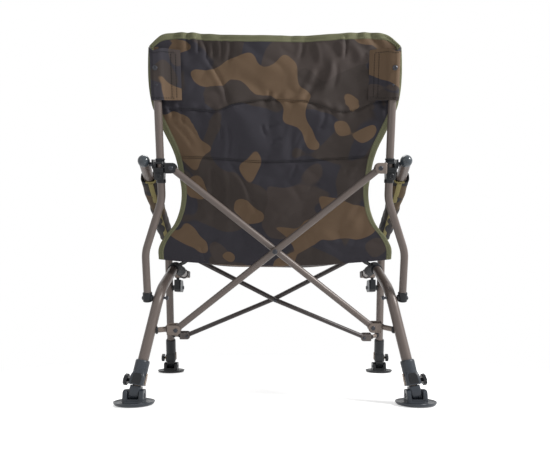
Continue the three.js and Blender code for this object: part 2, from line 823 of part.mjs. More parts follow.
function seatCloth() {
  const back = shell(backCloth(seatGap)).applyMatrix4(backFrame.matrix);
  const caps = sides.map((side) => shell(tipCapBody(side, side > 0 ? frontFar : frontNear, seatGap)));
  const cutters = [back, ...caps.map((cap) => cap.applyMatrix4(frontFrame.matrix))];
  const cloth = solid(sheet(seatPlace, clothThickness, seatColumns, seatRows));
  return cutters.reduce((body, cutter) => body.subtract(solid(cutter)), cloth);
}

// The pocket over a post top: a wrap round the tube and a flap against the back
function pocket(side) {
  const rings = pocketPuffShares.map((puff, k) => {
    const z = pocketBase + ((pocketTop - pocketBase) * k) / (pocketPuffShares.length - 1);
    const ring = pocketOutlineShares.map(([a, b]) => {
      const x = postHalfSpan + a * (a > 0 ? pocketWrapWidth * puff : pocketFlapWidth);
      return at(side * x, b * pocketHalfDepth * (b < 0 ? puff : 1), z);
    });
    return side > 0 ? ring : ring.reverse();
  });
  const middle = (z) => at(side * postHalfSpan, 0, z);
  const bore = rod(middle(pocketBase - cutOverrun), middle(pocketTop + cutOverrun), postRadius + seatGap, roundSides);
  return solid(loft(rings, middle(pocketBase), middle(pocketTop)))
    .subtract(solid(bore))
    .subtract(backCloth(seatGap))
    .subtract(screwRod(side, pocketScrewRadius + seatGap, -pocketHalfDepth * 2, -postRadius));
}

function screwRod(side, radius, from, to) {
  const x = side * postHalfSpan;
  return solid(rod(at(x, from, pocketScrewHeight), at(x, to, pocketScrewHeight), radius));
}

function pocketScrew(side) {
  const face = -pocketHalfDepth * Math.max(...pocketPuffShares) - seatGap;
  return screwRod(side, pocketScrewRadius, face, -postRadius - seatGap).add(
    screwRod(side, pocketScrewHead, face - boltHeadHeight / 2, face),
  );
}

// The webbing sleeve on the seat rail, with a strap up to the seat
function railSleeve(side) {
  const onRail = (a, b, y) => point(a, side).lerp(point(b, side), (y - a.y) / (b.y - a.y));
  const ends = [onRail(rearKnee, railCrest, sleeveRear), onRail(railCrest, railEnd, sleeveFront)];
  const path = new BentPath([ends[0], point(railCrest, side), ends[1]], [railBendRadius]);
  const middle = onRail(railCrest, railEnd, strapCentre);
  const span = seatFront.y - seatRearEdge();
  const top = seatPlace(middle.x / seatFrontHalfWidth, (strapCentre - seatRearEdge()) / span);
  const strap = block(
    at(middle.x - strapThickness / 2, strapCentre - strapHalfWidth, middle.z),
    at(middle.x + strapThickness / 2, strapCentre + strapHalfWidth, top.z),
  );
  const seat = solid(sheet(seatPlace, clothThickness + 2 * seatGap, seatColumns, seatRows));
  return solid(tube(path, sleeveRadius))
    .add(solid(strap).subtract(seat))
    .subtract(socketIn(rearPaths.get(side)));
}

const seatRearEdge = () => seatPlace(1, 0).y;

// The padded sleeve on the arm, built along its own axis
function armSleeve() {
  const count = armPuffShares.length;
  const power = (value) => Math.sign(value) * Math.abs(value) ** armSleeveSquareness;
  const rings = armPuffShares.map((puff, k) =>
    Array.from({ length: armSleeveSides }, (_, i) => {
      const a = (2 * Math.PI * i) / armSleeveSides;
      const z = (armSleeveLength * k) / (count - 1);
      return at(armSleeveHalfWidth * puff * power(Math.cos(a)), armSleeveHalfHeight * puff * power(Math.sin(a)), z);
    }),
  );
  const boreRadius = legSocket / Math.cos(Math.PI / roundSides);
  const bore = rod(at(0, 0, -cutOverrun), at(0, 0, armSleeveLength + cutOverrun), boreRadius, roundSides);
  return solid(loft(rings, at(0, 0, 0), at(0, 0, armSleeveLength))).subtract(solid(bore));
}

// A group with +Z along an axis and +X away from the middle of the chair
function alongGroup(origin, axis, side) {
  const outward = at(side, 0, 0).addScaledVector(axis, -side * axis.x).normalize();
  const group = new THREE.Group();
  const basis = new THREE.Matrix4().makeBasis(outward, axis.clone().cross(outward), axis);
  group.quaternion.setFromRotationMatrix(basis);
  group.position.copy(origin);
  group.updateMatrix();
  chair.add(group);
  return group;
}

// Leg fittings, in the group of their leg
function innerLeg(toLeg) {
  const eye = rod(at(-eyeHalfWidth, 0, 0), at(eyeHalfWidth, 0, 0), eyeRadius, roundSides).applyMatrix4(toLeg);
  const reach = eyeHalfWidth + cutOverrun;
  const hole = rod(at(-reach, 0, 0), at(reach, 0, 0), ankleBoltRadius + seatGap).applyMatrix4(toLeg);
  const stem = rod(at(0, 0, 0), at(0, 0, innerLegLength), innerLegRadius, roundSides);
  return solid(stem).add(solid(eye)).subtract(solid(hole));
}

function collar(top) {
  const upright = (z1, z2, radius) => solid(rod(at(0, 0, z1), at(0, 0, z2), radius, roundSides));
  const low = solid(post(roundedOutline(collarHalfWidth, collarHalfDepth, collarCorner), collarBase, collarBlockTop, collarCorner / 3));
  const clip = block(
    at(-collarHalfWidth - clipThickness, -clipHalfWidth, collarBase + clipMargin),
    at(0, clipHalfWidth, collarBlockTop - clipMargin),
  );
  return low
    .add(upright(collarBase + clipMargin, top, collarRadius))
    .add(solid(clip))
    .subtract(upright(collarBase - cutOverrun, top + cutOverrun, innerLegRadius + seatGap))
    .subtract(upright(legStart - seatGap, top + cutOverrun, legSocket))
    .subtract(solid(rod(at(0, 0, knobHeight), at(2 * collarHalfWidth, 0, knobHeight), knobNeckRadius + seatGap)));
}

// The lock knob, with its screw along +X from the collar
function knob() {
  const shape = new THREE.Shape();
  const count = 4 * knobLobes;
  for (let i = 0; i < count; i++) {
    const a = (2 * Math.PI * i) / count;
    const r = knobRadius * (1 - knobLobeShare * (1 - Math.cos(knobLobes * a)));
    if (i) shape.lineTo(r * Math.cos(a), r * Math.sin(a));
    else shape.moveTo(r * Math.cos(a), r * Math.sin(a));
  }
  shape.closePath();
  const face = collarHalfWidth + knobStandOff;
  const grip = post(shape, face, face + knobThickness, knobEdge).rotateY(Math.PI / 2);
  const start = innerLegRadius + seatGap;
  const along = (x1, x2, radius) => solid(rod(at(x1, 0, 0), at(x2, 0, 0), radius));
  const washerStart = collarHalfWidth + seatGap;
  return solid(grip)
    .add(along(start, face + knobEdge, knobNeckRadius))
    .add(along(washerStart, washerStart + washerThickness, washerRadius));
}

// The foot plate and its boot, with the ankle bolt along X
function foot() {
  const profile = discProfileShares.map(([r, z]) => new THREE.Vector2(r * discRadius, z * discRise - discDrop));
  const disc = new THREE.LatheGeometry(profile, discSides).rotateX(Math.PI / 2);
  const floor = discRise * discProfileShares.at(-1)[1] - discDrop;
  const boot = post(roundedOutline(bootHalfWidth, bootHalfDepth, bootCorner), floor - discRise / 4, bootTop, bootEdge);
  const slot = block(
    at(-bootSlotHalfWidth, -2 * bootHalfDepth, -eyeRadius - runningGap),
    at(bootSlotHalfWidth, 2 * bootHalfDepth, 2 * bootTop),
  );
  const head = bootHalfWidth + boltHeadHeight / 2;
  const along = (x1, x2, radius) => solid(rod(at(x1, 0, 0), at(x2, 0, 0), radius));
  return solid(disc)
    .add(solid(boot).subtract(solid(slot)))
    .add(along(-head, head, ankleBoltRadius))
    .add(along(-head, -bootHalfWidth + bootEdge, boltHeadRadius))
    .add(along(bootHalfWidth - bootEdge, head, boltHeadRadius));
}

function addLegUnit(side, where, ankle, axis, top) {
  const name = `${sideName(side)}_${where}`;
  const origin = point(ankle, side);
  const footGroup = alongGroup(origin, at(0, 0, 1), side);
  const legGroup = alongGroup(origin, axis, side);
  const toLeg = legGroup.matrix.clone().invert().multiply(footGroup.matrix);
  const lockKnob = named(`${name}_lock_knob`, knob(), blackPlastic);
  lockKnob.position.z = knobHeight;
  footGroup.add(named(`${name}_mud_foot`, foot(), blackPlastic));
  legGroup.add(named(`${name}_inner_leg`, innerLeg(toLeg), bracketPaint));
  legGroup.add(named(`${name}_collar`, collar(top), blackPlastic));
  legGroup.add(lockKnob);
}

function addSide(side) {
  const name = sideName(side);
  const [rear, front] = [rearPaths.get(side), frontPaths.get(side)];
  const pinInWorld = solid(shell(pinRod(side, boltRadius + seatGap, pinInner, pinOuter)).applyMatrix4(backFrame.matrix));
  chair.add(named(`${name}_rear_leg_rail`, boredLeg(rear).subtract(pinInWorld), tubePaint));
  chair.add(named(`${name}_front_leg_arm`, boredLeg(front), tubePaint));
  addLegUnit(side, "rear", rearAnkle, rearAxis(side), collarTop);
  addLegUnit(side, "front", frontAnkle, frontAxis(side), frontCollarTop);
  chair.add(named(`${name}_arm_ball`, armBall(side), blackPlastic));
  chair.add(named(`${name}_link_clevis`, linkClevis(side), bracketPaint));
  chair.add(named(`${name}_link_block`, linkBody(side), blackPlastic));
  chair.add(named(`${name}_rail_sleeve`, railSleeve(side), blackWebbing));

  const armEnd = front.stations.at(-1);
  const armAxis = front.stations.at(-2).clone().sub(armEnd).normalize();
  const sleeveGroup = alongGroup(armEnd.clone().addScaledVector(armAxis, armSleeveFromRear), armAxis, side);
  sleeveGroup.add(named(`${name}_arm_sleeve`, armSleeve(), clothPrint));

  backFrame.add(named(`${name}_back_post`, backPost(side), tubePaint));
  backFrame.add(named(`${name}_post_foot_cap`, postCap(side), blackPlastic));
  backFrame.add(named(`${name}_arm_peg`, armPeg(side), boltSteel));
  backFrame.add(named(`${name}_knuckle`, knuckle(side), blackPlastic));
  backFrame.add(named(`${name}_upper_clevis`, upperClevis(side, side > 0 ? rearNear : rearFar), bracketPaint));
  backFrame.add(named(`${name}_arm_hook`, hook(side), blackPlastic));
  backFrame.add(named(`${name}_top_pocket`, pocket(side), clothPrint));
  backFrame.add(named(`${name}_pocket_screw`, pocketScrew(side), boltSteel));

  const rearPivot = at(side * rearPivotHalfSpan, side > 0 ? rearFar : rearNear, -rearPivotDrop);
  const rearBracket = legBracket(side, rearPivot, rear, toBack, rearReach, false);
  backFrame.add(named(`${name}_rear_bracket`, rearBracket, bracketPaint));
  const frontPivot = at(side * frontPivotHalfSpan, side > 0 ? frontNear : frontFar, frontPivotHeight);
  const frontBracket = legBracket(side, frontPivot, front, toFront, frontReach, side > 0);
  frontFrame.add(named(`${name}_front_bracket`, frontBracket, bracketPaint));
}

sides.forEach(addSide);
backFrame.add(named("rear_brace_a", rearBrace(1, rearNear), tubePaint));
backFrame.add(named("rear_brace_b", rearBrace(-1, rearFar), tubePaint));
backFrame.add(named("rear_cross_bolt", crossBolt(rearNear, rearFar, rearCrossHeight), boltSteel));
backFrame.add(named("back_cloth", backCloth(0), clothPrint));
frontFrame.add(named("front_brace_c", frontBrace(1, frontFar, false), tubePaint));
frontFrame.add(named("front_brace_d", frontBrace(-1, frontNear, true), tubePaint));
frontFrame.add(named("front_cross_bolt", crossBolt(frontNear, frontFar, frontCrossHeight), boltSteel));
frontFrame.add(named("right_tip_cap", tipCap(1, frontFar), blackPlastic));
frontFrame.add(named("left_tip_cap", tipCap(-1, frontNear), blackPlastic));
chair.add(named("seat_cloth", seatCloth(), clothPrint));

// Stand the chair on the floor, centred on the origin
chair.updateMatrixWorld(true);
const bounds = new THREE.Box3().setFromObject(chair, true);
const centre = bounds.getCenter(new THREE.Vector3());
for (const piece of chair.children) {
  piece.position.sub(at(centre.x, centre.y, bounds.min.z));
}

export default chair;
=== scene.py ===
"""Looks of the low folding armchair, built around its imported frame.

Sizes are in millimetres on the maker's own axes, as in the part's source: X to the sitter's right, Y forward
and Z up. Two tilted planes carry the crossed tubes: one goes up the back posts, one up the front legs. A last
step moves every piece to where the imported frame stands, in metres.
"""
import math

import bpy
import numpy as np
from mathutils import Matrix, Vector


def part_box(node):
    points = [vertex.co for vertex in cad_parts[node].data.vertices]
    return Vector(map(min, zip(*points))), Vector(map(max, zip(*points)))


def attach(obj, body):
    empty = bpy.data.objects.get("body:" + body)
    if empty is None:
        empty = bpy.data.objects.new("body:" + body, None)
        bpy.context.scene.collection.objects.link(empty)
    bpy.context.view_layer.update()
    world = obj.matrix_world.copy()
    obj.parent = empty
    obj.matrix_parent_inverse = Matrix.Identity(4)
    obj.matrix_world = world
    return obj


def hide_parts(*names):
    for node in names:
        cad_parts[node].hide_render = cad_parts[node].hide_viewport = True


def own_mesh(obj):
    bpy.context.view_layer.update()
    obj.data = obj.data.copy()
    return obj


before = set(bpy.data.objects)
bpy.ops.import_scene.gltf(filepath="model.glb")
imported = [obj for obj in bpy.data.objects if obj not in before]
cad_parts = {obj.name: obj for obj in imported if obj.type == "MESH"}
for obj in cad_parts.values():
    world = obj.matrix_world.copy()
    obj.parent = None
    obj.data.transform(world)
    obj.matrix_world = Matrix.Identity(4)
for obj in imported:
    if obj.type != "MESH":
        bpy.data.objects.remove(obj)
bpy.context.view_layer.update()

# Sizes: most are shared with the part's source
LEG_RADIUS, POST_RADIUS, BRACE_RADIUS, INNER_LEG_RADIUS = 12.5, 9.0, 8.0, 10.0
POST_HALF_SPAN = 265.0
REAR_ANKLE = (325.0, -318.0, 8.0)
REAR_KNEE = (280.0, -278.0, 251.0)
RAIL_CREST = (284.0, -80.0, 330.0)
RAIL_END = (304.0, 176.0, 326.0)
FRONT_ANKLE = (370.0, 321.0, 8.0)
FRONT_LEAN = 19.1
ARM_FRONT_X, ARM_FRONT_Z = 359.0, 432.0
ARM_REAR = (304.0, -372.0, 548.0)
BACK_LEAN = 17.0
BACK_FOOT = (-280.0, 235.0)
KNEE_BEND, RAIL_BEND, ARM_BEND, POST_BEND = 70.0, 160.0, 85.0, 90.0
POST_FOOT_X = 310
POST_CORNERS = [(POST_FOOT_X, 0, -8), (POST_FOOT_X, 0, 112), (265, 0, 238), (265, 0, 565)]
LEG_START = 40.0
REAR_PIVOT = (238.0, -72.0)
REAR_CROSS = 119.0
REAR_TOP = 310.0
REAR_NEAR, REAR_FAR = -24.3, -7.7
FRONT_PIVOT = (308.0, 120.0)
FRONT_CROSS = 254.6
FRONT_TIP = (325.0, 429.6)
FRONT_NEAR, FRONT_FAR = -22.3, -5.7
BRACE_END = 6.0
BOLT_RADIUS = 3.0
REAR_REACH, FRONT_REACH = 20.0, 23.0
KNUCKLE_HEIGHT = 304.0
KNUCKLE_X = 266.9
KNUCKLE_INNER = 253.7
HOOK_INNER, HOOK_OUTER = 280.4, 284.4
PEG_FORWARD, PEG_HEIGHT = 16.0, 318.7
LINK_BAR_Y = (176.3, 199.3)
LINK_X, LINK_OUTER = 327.5, 336.0
BACK_BASE, BACK_TOP = 58.0, 600.0
BACK_WIDTH_SHARES = [
    1.132, 1.121, 1.057, 0.958, 0.9, 0.868, 0.857, 0.868, 0.879, 0.909, 0.96, 1.011, 1.055, 1.075, 1.081,
    1.077, 1.068,
]
BACK_TOP_SHARES = [1, 1, 1, 1.001, 1.003, 1.006, 1.009, 1.011, 1.0105, 1.001, 0.963]
BACK_REST, BACK_SLOPE, BACK_BREAK, BACK_BREAK_ROUND = 16.3, 0.2246, 440.0, 20.0
BACK_HOLLOW, BACK_CORNER_RISE = 14.0, 18.0
SEAT_LAP = 9.0
SEAT_FRONT = (318.0, 181.8, 423.0)
SEAT_FRONT_SAG, SEAT_FRONT_HOLLOW, SEAT_SAG = 12.0, 8.0, 30.0
POCKET_BASE, POCKET_TOP = 461.0, 571.0
POCKET_FLAP, POCKET_WRAP, POCKET_DEPTH = 53.0, 11.5, 12.0
POCKET_OUTLINE_SHARES = [
    (1.05, 1.0), (1.05, 0.5), (1.05, -0.5), (0.8, -0.9), (0.4, -1.05), (0, -1), (-0.2, -0.8), (-0.35, -0.25),
    (-0.55, 0.25), (-0.8, 0.5), (-1, 0.72),
]
POCKET_SCREW_HEIGHT = 528.0
ARM_SLEEVE_START, ARM_SLEEVE_LENGTH = 84.0, 408.0
ARM_SLEEVE_HALF = (22.0, 17.0)
ARM_SLEEVE_PUFF = [0.86, 0.98, 1.02, 1, 1.04, 1.01, 1.04, 0.99, 0.86]
ARM_SLEEVE_BORE, ARM_SLEEVE_CLEAR = 13.4, 15.4
RAIL_SLEEVE = (-118.0, 70.0)
STRAP_CENTRE, STRAP_HALF, STRAP_INWARD = -40.0, 24.0, 30.0

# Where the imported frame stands: the rear foot plate gives the way from the maker's axes to the frame's
_low, _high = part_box("right_rear_mud_foot")
SHIFT = np.array([0.0, 500 * (_low[1] + _high[1]) - REAR_ANKLE[1], 1000 * _low[2] + 13.0])
MM = 0.001
ORIGIN, UP = (0, 0, 0), (0, 0, 1)


# Points and frames
def unit(v):
    """Vectors of length 1 in the same directions."""
    v = np.asarray(v, float)
    return v / np.linalg.norm(v, axis=-1, keepdims=True)


def on_side(p, side):
    """A point of the right side, or its mirror image on the left."""
    return np.array([side * p[0], p[1], p[2]], float)


def tilted(origin_y, origin_z, lean):
    """Makes the step from (across, forward, up) in a plane leaning back by a number of degrees to the maker's
    axes."""
    c, s = math.cos(math.radians(lean)), math.sin(math.radians(lean))

    def place(p):
        """(x, n, v) goes to (x, origin_y + n cos(lean) - v sin(lean), origin_z + n sin(lean) + v
        cos(lean))."""
        p = np.asarray(p, float)
        x, n, v = p[..., 0], p[..., 1], p[..., 2]
        return np.stack([x, origin_y + n * c - v * s, origin_z + n * s + v * c], -1)

    return place


on_back = tilted(*BACK_FOOT, BACK_LEAN)
on_front = tilted(FRONT_ANKLE[1], FRONT_ANKLE[2], FRONT_LEAN)


def back_way(p):
    """A direction given in the back's plane, on the maker's axes."""
    return on_back(p) - on_back(np.zeros(3))


def along(origin, axis, side):
    """Makes the step from a leg's own axes to the maker's: its third axis runs up the leg, its first points
    outwards."""
    axis = unit(axis)
    outward = unit(np.array([side, 0, 0]) - side * axis[0] * axis)
    basis = np.stack([outward, np.cross(axis, outward), axis])
    return lambda p: np.asarray(p, float) @ basis + np.asarray(origin, float)


def bent_path(corners, radii=(), step=4.0):
    """Points along straight runs joined by round bends: each bend is an arc of its radius that touches both
    runs."""
    corners = [np.array(c, float) for c in corners]
    points = [corners[0]]
    for before, corner, after, radius in zip(corners, corners[1:], corners[2:], radii):
        into, out = unit(corner - before), unit(after - corner)
        turn = math.acos(float(np.clip(into @ out, -1, 1)))
        axis = unit(np.cross(into, out))
        start = corner - into * radius * math.tan(turn / 2)
        towards = np.cross(axis, into)
        angles = np.linspace(0, turn, max(2, math.ceil(math.degrees(turn) / step) + 1))[:, None]
        points.extend(start + radius * (np.sin(angles) * into + (1 - np.cos(angles)) * towards))
    points.append(corners[-1])
    return np.array(points)


def spline(points, count):
    """A smooth curve through points (Catmull-Rom): each stretch is a cubic that follows its neighbours'
    slopes."""
    p = np.array(points, float)
    p = np.concatenate([2 * p[:1] - p[1:2], p, 2 * p[-1:] - p[-2:-1]])
    t = np.linspace(0, len(p) - 3, count)
    i = np.minimum(t.astype(int), len(p) - 4)
    f = (t - i).reshape([-1] + [1] * (p.ndim - 1))
    a, b, c, d = p[i], p[i + 1], p[i + 2], p[i + 3]
    return 0.5 * (2 * b + (c - a) * f + (2 * a - 5 * b + 4 * c - d) * f**2 + (3 * b - a - 3 * c + d) * f**3)


def table(shares, t):
    """A table of even steps read along a smooth curve at shares of its length."""
    fine = spline(np.array(shares, float)[:, None], 400)[:, 0]
    return np.interp(t, np.linspace(0, 1, 400), fine)


def headings(path):
    """Directions along a path, each the mean of the runs on both sides of its point."""
    runs = unit(np.diff(path, axis=0))
    return unit(np.concatenate([runs[:1], runs[:-1] + runs[1:], runs[-1:]]))


# Skins: points with the corners of their faces and a place on the surface for each corner
def grid_faces(rows, columns, closed):
    """Four-cornered faces of a grid of points, which may close on itself across, with each corner's (column,
    row)."""
    k, i = np.meshgrid(np.arange(rows - 1), np.arange(columns if closed else columns - 1), indexing="ij")
    k, i = k.ravel(), i.ravel()
    j = (i + 1) % columns
    faces = np.stack([k * columns + i, k * columns + j, (k + 1) * columns + j, (k + 1) * columns + i], -1)
    steps = np.stack([np.stack([i, k], -1), np.stack([i + 1, k], -1), np.stack([i + 1, k + 1], -1),
                      np.stack([i, k + 1], -1)], 1)
    return faces, steps


def rings_skin(rings):
    """Skin over rings of points, each ring closed on itself, with a fan over each end. Its places are lengths
    round and along."""
    rows, columns = rings.shape[:2]
    faces, steps = grid_faces(rows, columns, True)
    whole_rings = np.concatenate([rings, rings[:, :1]], 1)
    round_steps = np.linalg.norm(np.diff(whole_rings, axis=1), axis=-1).mean(0)
    run_steps = np.linalg.norm(np.diff(rings.mean(1), axis=0), axis=-1)
    round_length, run_length = (np.concatenate([[0], np.cumsum(each)]) for each in (round_steps, run_steps))
    places = np.stack([round_length[steps[..., 0]], run_length[steps[..., 1]]], -1)
    points = rings.reshape(-1, 3)
    points = np.concatenate([points, rings[:1].mean(1), rings[-1:].mean(1)])
    i = np.arange(columns)
    j = (i + 1) % columns
    low, high = len(points) - 2, len(points) - 1
    last = (rows - 1) * columns
    first_fan = np.stack([np.full(columns, low), j, i], -1)
    last_fan = np.stack([np.full(columns, high), last + i, last + j], -1)
    fans = np.concatenate([first_fan, last_fan])
    round_places = np.stack([i * 0 + 0.0, (i + 1.0), i * 1.0], -1)
    fan_places = np.stack([np.concatenate([round_places, round_places]), np.zeros((2 * columns, 3))], -1)
    return points, [(faces, places), (fans, fan_places)]


def loop_faces(rows, columns):
    """Faces of a skin that closes both ways, as a tyre does, with the row and the column of each."""
    k, i = np.meshgrid(np.arange(rows), np.arange(columns), indexing="ij")
    k, i = k.ravel(), i.ravel()
    above, beside = (k + 1) % rows, (i + 1) % columns
    faces = np.stack([k * columns + i, k * columns + beside, above * columns + beside, above * columns + i],
                     -1)
    return faces, k, i


def moved(skin, place):
    """The same skin with its points taken through a step from one set of axes to another."""
    return place(skin[0]), skin[1]


def laid(skin, across=0.0, forward=0.0, up=0.0):
    """A skin laid down: its third axis points across, its first forward and its second up, and it is
    moved."""
    return moved(skin, lambda p: p[:, [2, 0, 1]] + (across, forward, up))


def ring(count):
    """Points evenly round a circle of radius 1."""
    a = 2 * np.pi * np.arange(count) / count
    return np.stack([np.cos(a), np.sin(a)], -1)


def carried(path, outline, towards):
    """Skin of an outline carried along a path. The outline's first axis points to a given direction, squared
    to the path."""
    path = np.asarray(path, float)
    heading = headings(path)
    towards = np.broadcast_to(np.asarray(towards, float), heading.shape)
    first = unit(towards - (towards * heading).sum(-1, keepdims=True) * heading)
    second = np.cross(heading, first)
    outline = np.broadcast_to(outline, (len(path),) + np.shape(outline)[-2:])
    rings = path[:, None] + outline[..., :1] * first[:, None]
    return rings_skin(rings + outline[..., 1:] * second[:, None])


def tube(path, radius, towards=(0, 1, 0), sides=28, ease=0.8):
    """A round tube along a path, its rims eased: rings of one radius, with a slightly smaller ring at each
    end."""
    path = np.asarray(path, float)
    first, last = unit(path[1] - path[0]), unit(path[-1] - path[-2])
    path = np.concatenate([path[:1], path[:1] + ease * first, path[1:-1], path[-1:] - ease * last, path[-1:]])
    radii = np.full(len(path), float(radius))
    radii[[0, -1]] -= ease
    return carried(path, radii[:, None, None] * ring(sides), towards)


def eased(points, ease, closed=True, steps=4):
    """An outline whose corners are rounded: each corner gives way to a short curve between points near it."""
    p = np.array(points, float)
    before, after = np.roll(p, 1, 0), np.roll(p, -1, 0)
    reach = lambda q: np.minimum(ease, 0.45 * np.linalg.norm(q - p, axis=-1))[:, None]
    a, b = p + reach(before) * unit(before - p + 1e-12), p + reach(after) * unit(after - p + 1e-12)
    t = np.linspace(0, 1, steps)[None, :, None]
    curve = (1 - t) ** 2 * a[:, None] + 2 * t * (1 - t) * p[:, None] + t**2 * b[:, None]
    if closed:
        return curve.reshape(-1, 2)
    return np.concatenate([p[:1], curve[1:-1].reshape(-1, 2), p[-1:]])


def turned(origin, axis, profile, sides=32, ease=0.5):
    """A turned piece: a profile of (place along, radius) spun about an axis, its corners eased."""
    profile = np.array([(a, max(r, 0.02)) for a, r in eased(profile, ease, closed=False)])
    axis = unit(axis)
    side = unit(np.cross(axis, (0, 0, 1) if abs(axis[2]) < 0.9 else (1, 0, 0)))
    other = np.cross(axis, side)
    circle = ring(sides)
    rings = np.asarray(origin, float) + profile[:, None, :1] * axis + profile[:, None, 1:] * (
        circle[None, :, :1] * side + circle[None, :, 1:] * other)
    return rings_skin(rings)


def rod(a, b, radius, sides=20, ease=0.4):
    """A plain round rod between two points."""
    a, b = np.asarray(a, float), np.asarray(b, float)
    length = float(np.linalg.norm(b - a))
    return turned(a, b - a, [(0, 0), (0, radius), (length, radius), (length, 0)], sides, ease)


def slab_outline(half_width, half_height, corner, steps=5):
    """A rectangle with round corners, with a point just past each corner on each flat, so that the flats stay
    flat."""
    a = np.linspace(0, np.pi / 2, steps)
    arc = np.stack([np.cos(a), np.sin(a)], -1) * corner
    w, h = half_width - corner, half_height - corner
    keep = min(0.6, 0.2 * min(w, h) + 1e-3)
    out = []
    for k, (cx, cy) in enumerate(((w, h), (-w, h), (-w, -h), (w, -h))):
        c, s = math.cos(k * math.pi / 2), math.sin(k * math.pi / 2)
        turn = np.array([[c, s], [-s, c]])
        bend = arc @ turn + (cx, cy)
        first = np.array([[0, -keep]]) @ turn + bend[:1]
        last = np.array([[-keep, 0]]) @ turn + bend[-1:]
        out.append(np.concatenate([first, bend, last]))
    return np.concatenate(out)


def moulded(stations, corner, ease=1.2, steps=3):
    """A moulded block along its third axis: round-cornered rectangles of the stations' sizes, its two ends
    eased. A station is (height, half width, half depth, middle across, middle forward)."""
    full = [tuple(s) + (0,) * (5 - len(s)) for s in stations]
    a = np.linspace(0, np.pi / 2, steps + 1)
    rows = []
    for t in a[:-1]:
        h, w, d, x, y = full[0]
        cut = ease * (1 - math.sin(t))
        rows.append((h + ease * (1 - math.cos(t)), w - cut, d - cut, x, y))
    first = full[0]
    rows.append((first[0] + ease,) + first[1:])
    rows += full[1:-1]
    last = full[-1]
    rows.append((last[0] - ease,) + last[1:])
    for t in a[::-1][1:]:
        cut = ease * (1 - math.sin(t))
        rows.append((last[0] - ease * (1 - math.cos(t)), last[1] - cut, last[2] - cut, last[3], last[4]))
    rings = []
    for h, w, d, x, y in rows:
        outline = slab_outline(w, d, min(corner, 0.9 * w, 0.9 * d))
        rings.append(np.column_stack([outline + (x, y), np.full(len(outline), h)]))
    return rings_skin(np.array(rings))


def placed(skins, place):
    """The same (skin, material) pairs, with every skin moved."""
    return [(moved(skin, place), finish) for skin, finish in skins]


def plate(outline, thickness, ease=0.5):
    """A flat plate in the first two axes, centred on zero along the third, with eased rims."""
    outline = np.asarray(outline, float)
    ahead = np.roll(outline, -1, 0) - np.roll(outline, 1, 0)
    inward = unit(np.stack([-ahead[:, 1], ahead[:, 0]], -1))
    half = thickness / 2
    rows = [(-half, ease), (-half + ease, 0), (half - ease, 0), (half, ease)]
    rings = [np.column_stack([outline + cut * inward, np.full(len(outline), z)]) for z, cut in rows]
    return rings_skin(np.array(rings))


def mirrored(skins, side):
    """The same pieces on the left side: X changes sign and every face turns round, so it still faces
    outwards."""
    if side > 0:
        return skins
    out = []
    for (points, parts), finish in skins:
        out.append(((points * (-1, 1, 1), [(f[:, ::-1], t[:, ::-1]) for f, t in parts]), finish))
    return out


def piece(name, skins, body, stands_for=(), crease=40.0):
    """One mesh at the origin from (skin, material) pairs, in the frame's metres, that rides on a body."""
    points, corners, sizes, numbers, places, finishes = [], [], [], [], [], []
    base = 0
    for (skin_points, parts), finish in skins:
        if finish not in finishes:
            finishes.append(finish)
        for faces, spots in parts:
            corners.append((faces + base).ravel())
            sizes.append(np.full(len(faces), faces.shape[1]))
            numbers.append(np.full(len(faces), finishes.index(finish)))
            places.append(np.asarray(spots, float).reshape(-1, 2))
        points.append(skin_points)
        base += len(skin_points)
    points, corners, sizes = np.concatenate(points), np.concatenate(corners), np.concatenate(sizes)
    mesh = bpy.data.meshes.new(name)
    mesh.vertices.add(len(points))
    mesh.vertices.foreach_set("co", ((points + SHIFT) * MM).ravel().astype(np.float32))
    mesh.loops.add(len(corners))
    mesh.loops.foreach_set("vertex_index", corners.astype(np.int32))
    mesh.polygons.add(len(sizes))
    mesh.polygons.foreach_set("loop_start", np.concatenate([[0], np.cumsum(sizes)[:-1]]).astype(np.int32))
    mesh.polygons.foreach_set("material_index", np.concatenate(numbers).astype(np.int32))
    layer = mesh.uv_layers.new(name="surface")
    layer.data.foreach_set("uv", (np.concatenate(places) * MM).ravel().astype(np.float32))
    mesh.update(calc_edges=True)
    mesh.validate()
    mesh.polygons.foreach_set("use_smooth", np.ones(len(mesh.polygons), bool))
    mesh.set_sharp_from_angle(angle=math.radians(crease))
    for finish in finishes:
        mesh.materials.append(finish)
    made = bpy.data.objects.new(name, mesh)
    bpy.context.scene.collection.objects.link(made)
    if body:
        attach(made, body)
    if stands_for:
        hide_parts(*stands_for)
    return made


# Materials
def paint(code):
    """A colour written as on a paint chart, turned to the linear values that a shader takes."""
    channels = [((code >> shift) & 255) / 255 for shift in (16, 8, 0)]
    return tuple(c / 12.92 if c <= 0.04045 else ((c + 0.055) / 1.055) ** 2.4 for c in channels) + (1.0,)


def add(tree, kind, sockets=None, **settings):
    """A shader node with its settings. A socket of another node is linked, and a plain value is set."""
    made = tree.nodes.new("ShaderNode" + kind)
    for key, value in settings.items():
        setattr(made, key, value)
    for key, value in (sockets or {}).items():
        if isinstance(value, bpy.types.NodeSocket):
            tree.links.new(value, made.inputs[key])
        else:
            made.inputs[key].default_value = value
    return made


def calc(tree, operation, a, b=0.0):
    """The result of a sum or another calculation with two values."""
    return add(tree, "Math", {0: a, 1: b}, operation=operation).outputs[0]


def blend_colour(tree, share, first, second):
    """A colour between two, by a share from 0 to 1."""
    return add(tree, "Mix", {0: share, 6: first, 7: second}, data_type="RGBA").outputs[2]


def step_mask(tree, value, threshold, soft):
    """A mask that goes from 0 to 1 where a value passes a threshold, over a soft edge."""
    sockets = {"Value": value, "From Min": threshold - soft, "From Max": threshold + soft}
    return add(tree, "MapRange", sockets, interpolation_type="SMOOTHSTEP").outputs["Result"]


